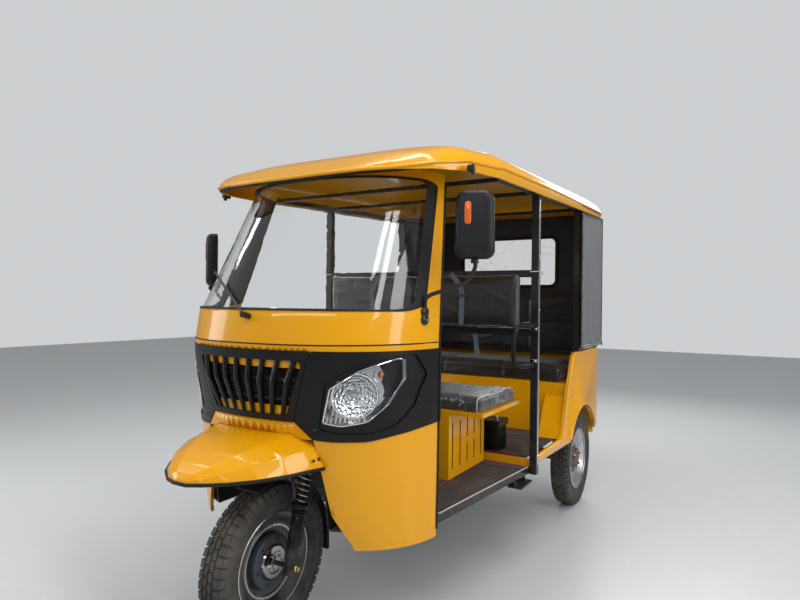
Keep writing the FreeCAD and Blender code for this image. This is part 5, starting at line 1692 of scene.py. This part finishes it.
floorTrim = {
    "frontTop": 0.4402,
    "rearTop": 0.4802,
    "ribHalf": 0.0035,
    # count, half width, height, front end of the middle and of the side ribs, rear end
    "frontRibs": (52, 0.51, 0.0022, 0.62, 0.86, 1.095),
    "rearRibs": (46, 0.475, 0.0020, 1.215, 1.215, 1.390),
    "sideRibs": 0.46,
    # piece, half width, front, rear, floor and height
    "strips": [("blue", 0.585, 1.105, 1.122, "frontTop", 0.0038), ("red", 0.585, 1.126, 1.150, "frontTop", 0.0038),
               ("blue", 0.585, 1.152, 1.164, "frontTop", 0.0038), ("blue", 0.475, 1.640, 1.655, "rearTop", 0.0040),
               ("red", 0.560, 1.190, 1.206, "rearTop", 0.0040)],
    "sill": [(0.5235, 0.360), (0.5995, 1.165)],
    "sillEdges": (0.009, 0.001),
    "sillFaces": (0.4403, 0.4420),
    "riser": ((-0.598, 1.1672, 0.4402), (0.598, 1.1696, 0.4795)),
    # Painted shade: the two corners of a thin black plate inside the seat base
    "seatShadePlate": ((0.3654, 0.020, 0.455), (0.3662, 0.380, 0.715)),     # y from the seat base's front
}


def makeFloorFittings():
    # Rubber mats with ribs, coloured edge strips, an aluminium sill strip and the yellow step riser, and a thin black
    # plate of painted shade inside the seat base
    f = floorTrim
    ribs, blue, red, sillStrip, riser, dark = newShapes(6)
    for key, floor in (("frontRibs", f["frontTop"]), ("rearRibs", f["rearTop"])):
        count, half, height, front, sideFront, rear = f[key]
        for k in range(count):
            x = 2 * half * k / (count - 1) - half
            start = front if abs(x) < f["sideRibs"] else sideFront
            addBox(ribs, spot(x - f["ribHalf"], start, floor), spot(x + f["ribHalf"], rear, floor + height))
    for color, half, front, rear, floor, height in f["strips"]:
        shape = blue if color == "blue" else red
        addBox(shape, spot(-half, front, f[floor]), spot(half, rear, f[floor] + height))
    low, high = f["sillFaces"]
    for side in (-1, 1):
        rings = []
        for x, y in f["sill"]:
            inner, outer = [side * (x - edge) for edge in f["sillEdges"]]
            rings.append([spot(inner, y, low), spot(outer, y, low), spot(outer, y, high), spot(inner, y, high)])
        addRings(sillStrip, rings)
    finishPiece("matRibs", ribs, "floorMat")
    finishPiece("matStripsBlue", blue, "blueRubber", bevel=0.0008)
    finishPiece("matStripsRed", red, "redRubber", bevel=0.0008)
    finishPiece("sillStrips", sillStrip, "sillSilver")
    addBox(riser, *[spot(*corner) for corner in f["riser"]])
    finishPiece("stepRiser", riser, "yellowPaint", bevel=0.0006)
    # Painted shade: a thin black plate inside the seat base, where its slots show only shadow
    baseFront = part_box("seat_base")[0].y
    for side in (-1, 1):
        addSideBox(dark, side, *[(x, baseFront + y, z) for x, y, z in f["seatShadePlate"]])
    finishPiece("seatBaseShadePlate", dark, "sealRubber")


battery = {
    "low": (0.240, 1.206, 0.4803),
    "high": (0.420, 1.328, 0.6303),
    "lidReach": 0.008,
    "lidDrop": 0.028,
    "lidRise": 0.004,
    "frontRibs": 7,
    "sideRibs": 5,
    "ribHalf": 0.004,
    "strapHalf": 0.011,
    "strapThickness": 0.002,
    "postInset": 0.030,
    "post": [(0, 0.010), (0.010, 0.010), (0.012, 0.007), (0.016, 0.007), (0.016, 0.001)],
}


def makeBatteryTrim():
    b = battery
    low, high = spot(*b["low"]), spot(*b["high"])
    cover, straps, studs = newShapes(3)
    addBox(cover, (low.x - b["lidReach"], low.y - b["lidReach"], high.z - b["lidDrop"]),
           (high.x + b["lidReach"], high.y + b["lidReach"], high.z + b["lidRise"]))
    ribLow, ribHigh = low.z + 0.012, high.z - 0.034
    for k in range(b["frontRibs"]):
        x = low.x + 0.022 + (high.x - low.x - 0.044) * k / (b["frontRibs"] - 1)
        addBox(cover, (x - b["ribHalf"], low.y - 0.0045, ribLow), (x + b["ribHalf"], low.y - 0.0005, ribHigh))
    for k in range(b["sideRibs"]):
        y = low.y + 0.018 + (high.y - low.y - 0.036) * k / (b["sideRibs"] - 1)
        addBox(cover, (high.x + 0.0005, y - b["ribHalf"], ribLow), (high.x + 0.0045, y + b["ribHalf"], ribHigh))
    finishPiece("batteryCover", cover, "blackTrim", bevel=0.0012)
    left, right = [(low.x + high.x) / 2 + way * b["strapHalf"] for way in (-1, 1)]
    front, strapTop = low.y - 0.0105, high.z + 0.0065
    addBox(straps, (left, front, low.z), (right, front + b["strapThickness"], strapTop))
    addBox(straps, (left, front, strapTop - b["strapThickness"]), (right, high.y + 0.0105, strapTop))
    finishPiece("batteryStrap", straps, "brightStrip", bevel=0.0005)
    for x in (low.x + b["postInset"], high.x - b["postInset"]):
        addTurned(studs, b["post"], Vector((x, (low.y + high.y) / 2, high.z + b["lidRise"])), up, 18)
    finishPiece("batteryPosts", studs, "chrome")


rearLamps = {
    "x": 0.520,
    "half": 0.045,
    "corner": 0.016,
    "housing": [(0.0, 0.0), (0.6, 0.0), (0.72, -0.003)],        # share of the depth, and growth
    "lenses": {"redLens": (0.345, 0.645), "orangeLens": (0.66, 0.965), "clearLens": (0.035, 0.33)},
    "lensEdge": 0.006,
    "plate": (0.170, 0.596, 0.796, 2.458),      # half width, foot, head and the back panel's y
    "rimHalf": 0.004,
    "plateEdge": 0.012,
    "screwEdge": 0.024,
}


def makeTailTrim():
    low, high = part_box("tail_lamps")
    housings, plateShape, holder = newShapes(3)
    lenses = {name: bmesh.new() for name in rearLamps["lenses"]}
    height, depth, half = high.z - low.z, high.y - low.y, rearLamps["half"]
    for side in (-1, 1):
        x = side * rearLamps["x"]
        rings = []
        for share, grow in rearLamps["housing"]:
            outline = roundedOutline(half + grow, height / 2 + grow, rearLamps["corner"])
            rings.append([Vector((x + px, low.y + depth * share, low.z + height / 2 + pz)) for px, pz in outline])
        addRings(housings, rings)
        reach = half - rearLamps["lensEdge"]
        for name, (foot, head) in rearLamps["lenses"].items():
            addBox(lenses[name], (x - reach, low.y + 0.6 * depth, low.z + height * foot),
                   (x + reach, high.y - 0.001, low.z + height * head))
    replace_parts(finishPiece("tailHousings", housings, "blackTrim"), "tail_lamps")
    for name, shape in lenses.items():
        finishPiece("tailLens_" + name, shape, name, bevel=0.003)

    half, foot, head, y = rearLamps["plate"]
    back, rim, edge = spot(0, y, 0).y, rearLamps["rimHalf"], rearLamps["plateEdge"]
    addBox(holder, (-half, back + 0.0005, foot), (half, back + 0.0035, head))
    for z in (foot + rim, head - rim):
        addBox(holder, (-half, back + 0.0005, z - rim), (half, back + 0.0075, z + rim))
    for x in (-half + rim, half - rim):
        addBox(holder, (x - rim, back + 0.0005, foot), (x + rim, back + 0.0075, head))
    finishPiece("plateHolder", holder, "blackTrim", bevel=0.0008)
    addBox(plateShape, (-half + edge, back + 0.0038, foot + edge), (half - edge, back + 0.0050, head - edge))
    finishPiece("blankPlate", plateShape, "whitePlastic", bevel=0.0004)
    screwX = half - rearLamps["screwEdge"]
    screws = [(Vector((x, back + 0.0062, foot + (head - foot) * share)), Vector((0, 1, 0)))
              for x in (-screwX, screwX) for share in (0.2, 0.8)]
    headsPiece("plateScrews", screws, "chrome", sides=14, radius=0.005, top=0.0035, height=0.0028)


dash = {
    "dial": (0, 0.108, 1.1332),
    "ring": [(0, 0.043), (0.006, 0.043), (0.009, 0.040), (0.009, 0.037), (0.003, 0.036), (0.0, 0.036)],
    "face": [(0.0003, 0.0358), (0.0020, 0.0358)],
    "needle": ((-0.001, -0.004, 0.0035), (0.001, 0.028, 0.0047)),
    "needleTurn": 38,
    "markCount": 17,
    "markCircle": 0.030,
    "markSweep": 130,       # degrees to each side
    "switchPlaces": [-0.085, -0.062, 0.062, 0.085],
    "switch": [(0, 0.008), (0.006, 0.008), (0.009, 0.0055), (0.009, 0.001)],
}


def makeDashboardTrim():
    ring, face, needle, switches = newShapes(4)
    marks = []
    centre = spot(*dash["dial"])
    addTurned(ring, dash["ring"], centre, up, 48, closed=True)
    addTurned(face, dash["face"], centre, up, 40)
    low, high = [centre + Vector(corner) for corner in dash["needle"]]
    addBox(needle, low, high, Matrix.Rotation(math.radians(dash["needleTurn"]), 3, "Z"), centre)
    for k in range(dash["markCount"]):
        t = math.radians(dash["markSweep"] * (2 * k / (dash["markCount"] - 1) - 1))
        marks.append((centre + Vector((math.sin(t), math.cos(t), 0)) * dash["markCircle"] + up * 0.0026, up))
    for x in dash["switchPlaces"]:
        addTurned(switches, dash["switch"], spot(x, dash["dial"][1], 1.1333), up, 18)
    finishPiece("dialRing", ring, "chrome")
    finishPiece("dialFace", face, "sealRubber")
    finishPiece("dialNeedle", needle, "orangeLens")
    headsPiece("dialMarks", marks, "whitePlastic", sides=8, radius=0.0012, top=0.0012, height=0.0006)
    finishPiece("dashSwitches", switches, "blackTrim")


ventBack = {
    "half": 0.285,
    "low": 0.800,
    "high": 1.050,
    "behind": 0.036,
    "columns": 36,
    "rows": 10,
    "bars": 9,
    "barAhead": 0.006,
    "barRadius": 0.0028,
}


def makeVentShadeSheetAndMesh():
    # A dark sheet and a mesh of bars behind the grille's slots, following the cab skin above and below the vent; the
    # sheet is painted shade, standing in for the shadow seen through the slots
    v = ventBack
    skinRear = spot(0, 0.10, 0).y

    def behind(share, height, ahead=0.0):
        x = v["half"] * (2 * share - 1)
        ends = []
        for z, step in ((v["low"], -0.01), (v["high"], 0.01)):
            place = None
            while place is None or place.y > skinRear:
                place, _, _, _ = cabSurface.ray_cast(Vector((x, -4, z)), Vector((0, 1, 0)), 8.0)
                z += step
            ends.append(place)
        return ends[0].lerp(ends[1], height) + Vector((0, v["behind"] - ahead, 0))

    # Painted shade: a dark sheet where the slots show only shadow
    shadeSheet, bars = newShapes(2)
    skinGrid(shadeSheet, [[shadeSheet.verts.new(behind(c / v["columns"], r / v["rows"])) for c in range(v["columns"] + 1)]
                       for r in range(v["rows"] + 1)])
    finishPiece("ventShadeSheet", shadeSheet, "sealRubber", sharpAngle=60)
    for k in range(v["bars"]):
        height = 0.10 + 0.80 * k / (v["bars"] - 1)
        addTube(bars, [behind(c / 24, height, v["barAhead"]) for c in range(25)], v["barRadius"], 6)
    finishPiece("ventMesh", bars, "blackTrim")


handles = {
    "root": (0.621, 1.1527, 0.935, 1.130),      # x, y, foot and head
    "reach": 0.168,
    "turn": 15.0,
    "radius": 0.0105,
    # shares of the reach with their lift, from the foot outwards and back to the head
    "fromFoot": [(0.0, 0.0), (0.42, -0.004), (0.86, 0.010), (1.0, 0.050)],
    "toHead": [(0.97, -0.052), (0.76, -0.008), (0.40, 0.002), (0.0, 0.0)],
}


def makeHandles():
    # Padded D handles: a fat soft tube over the steel one, with rounded corners
    x, y, foot, head = handles["root"]
    turn = math.radians(handles["turn"])
    reach = Vector((-math.sin(turn), -math.cos(turn), 0)) * handles["reach"]
    grips = bmesh.new()
    for side in (-1, 1):
        points = [spot(x, y, z) + reach * share + up * lift
                  for z, ends in ((foot, "fromFoot"), (head, "toHead")) for share, lift in handles[ends]]
        path = [Vector((p.x * side, p.y, p.z)) for p in smoothPath(points, 6)]
        addTube(grips, path, handles["radius"], 12)
    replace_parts(finishPiece("handleGrips", grips, "blackTrim"), "grab_handles")


makeMirrors()
makeHandles()
for nodeName in ("front_mudguard", "cowl_lower", "cowl_upper", "roof", "rear_body"):
    smoothSkin(nodeName, "yellowPaint", 29)
makePillarFittings()
makeFloorFittings()
makeBatteryTrim()
makeTailTrim()
makeDashboardTrim()
makeVentShadeSheetAndMesh()
print("fittings made")


def makeFloor():
    half = lightLook["floorHalf"]
    mesh = bpy.data.meshes.new("studioFloor")
    mesh.from_pydata([(-half, -half, 0), (half, -half, 0), (half, half, 0), (-half, half, 0)], [], [(0, 1, 2, 3)])
    floor = newObject("studioFloor", mesh)
    mesh.materials.append(plasticMaterial("studioFloorPaint", lightLook["floor"], 0.30, 60.0, 0.0001, 0.1))


makeFloor()
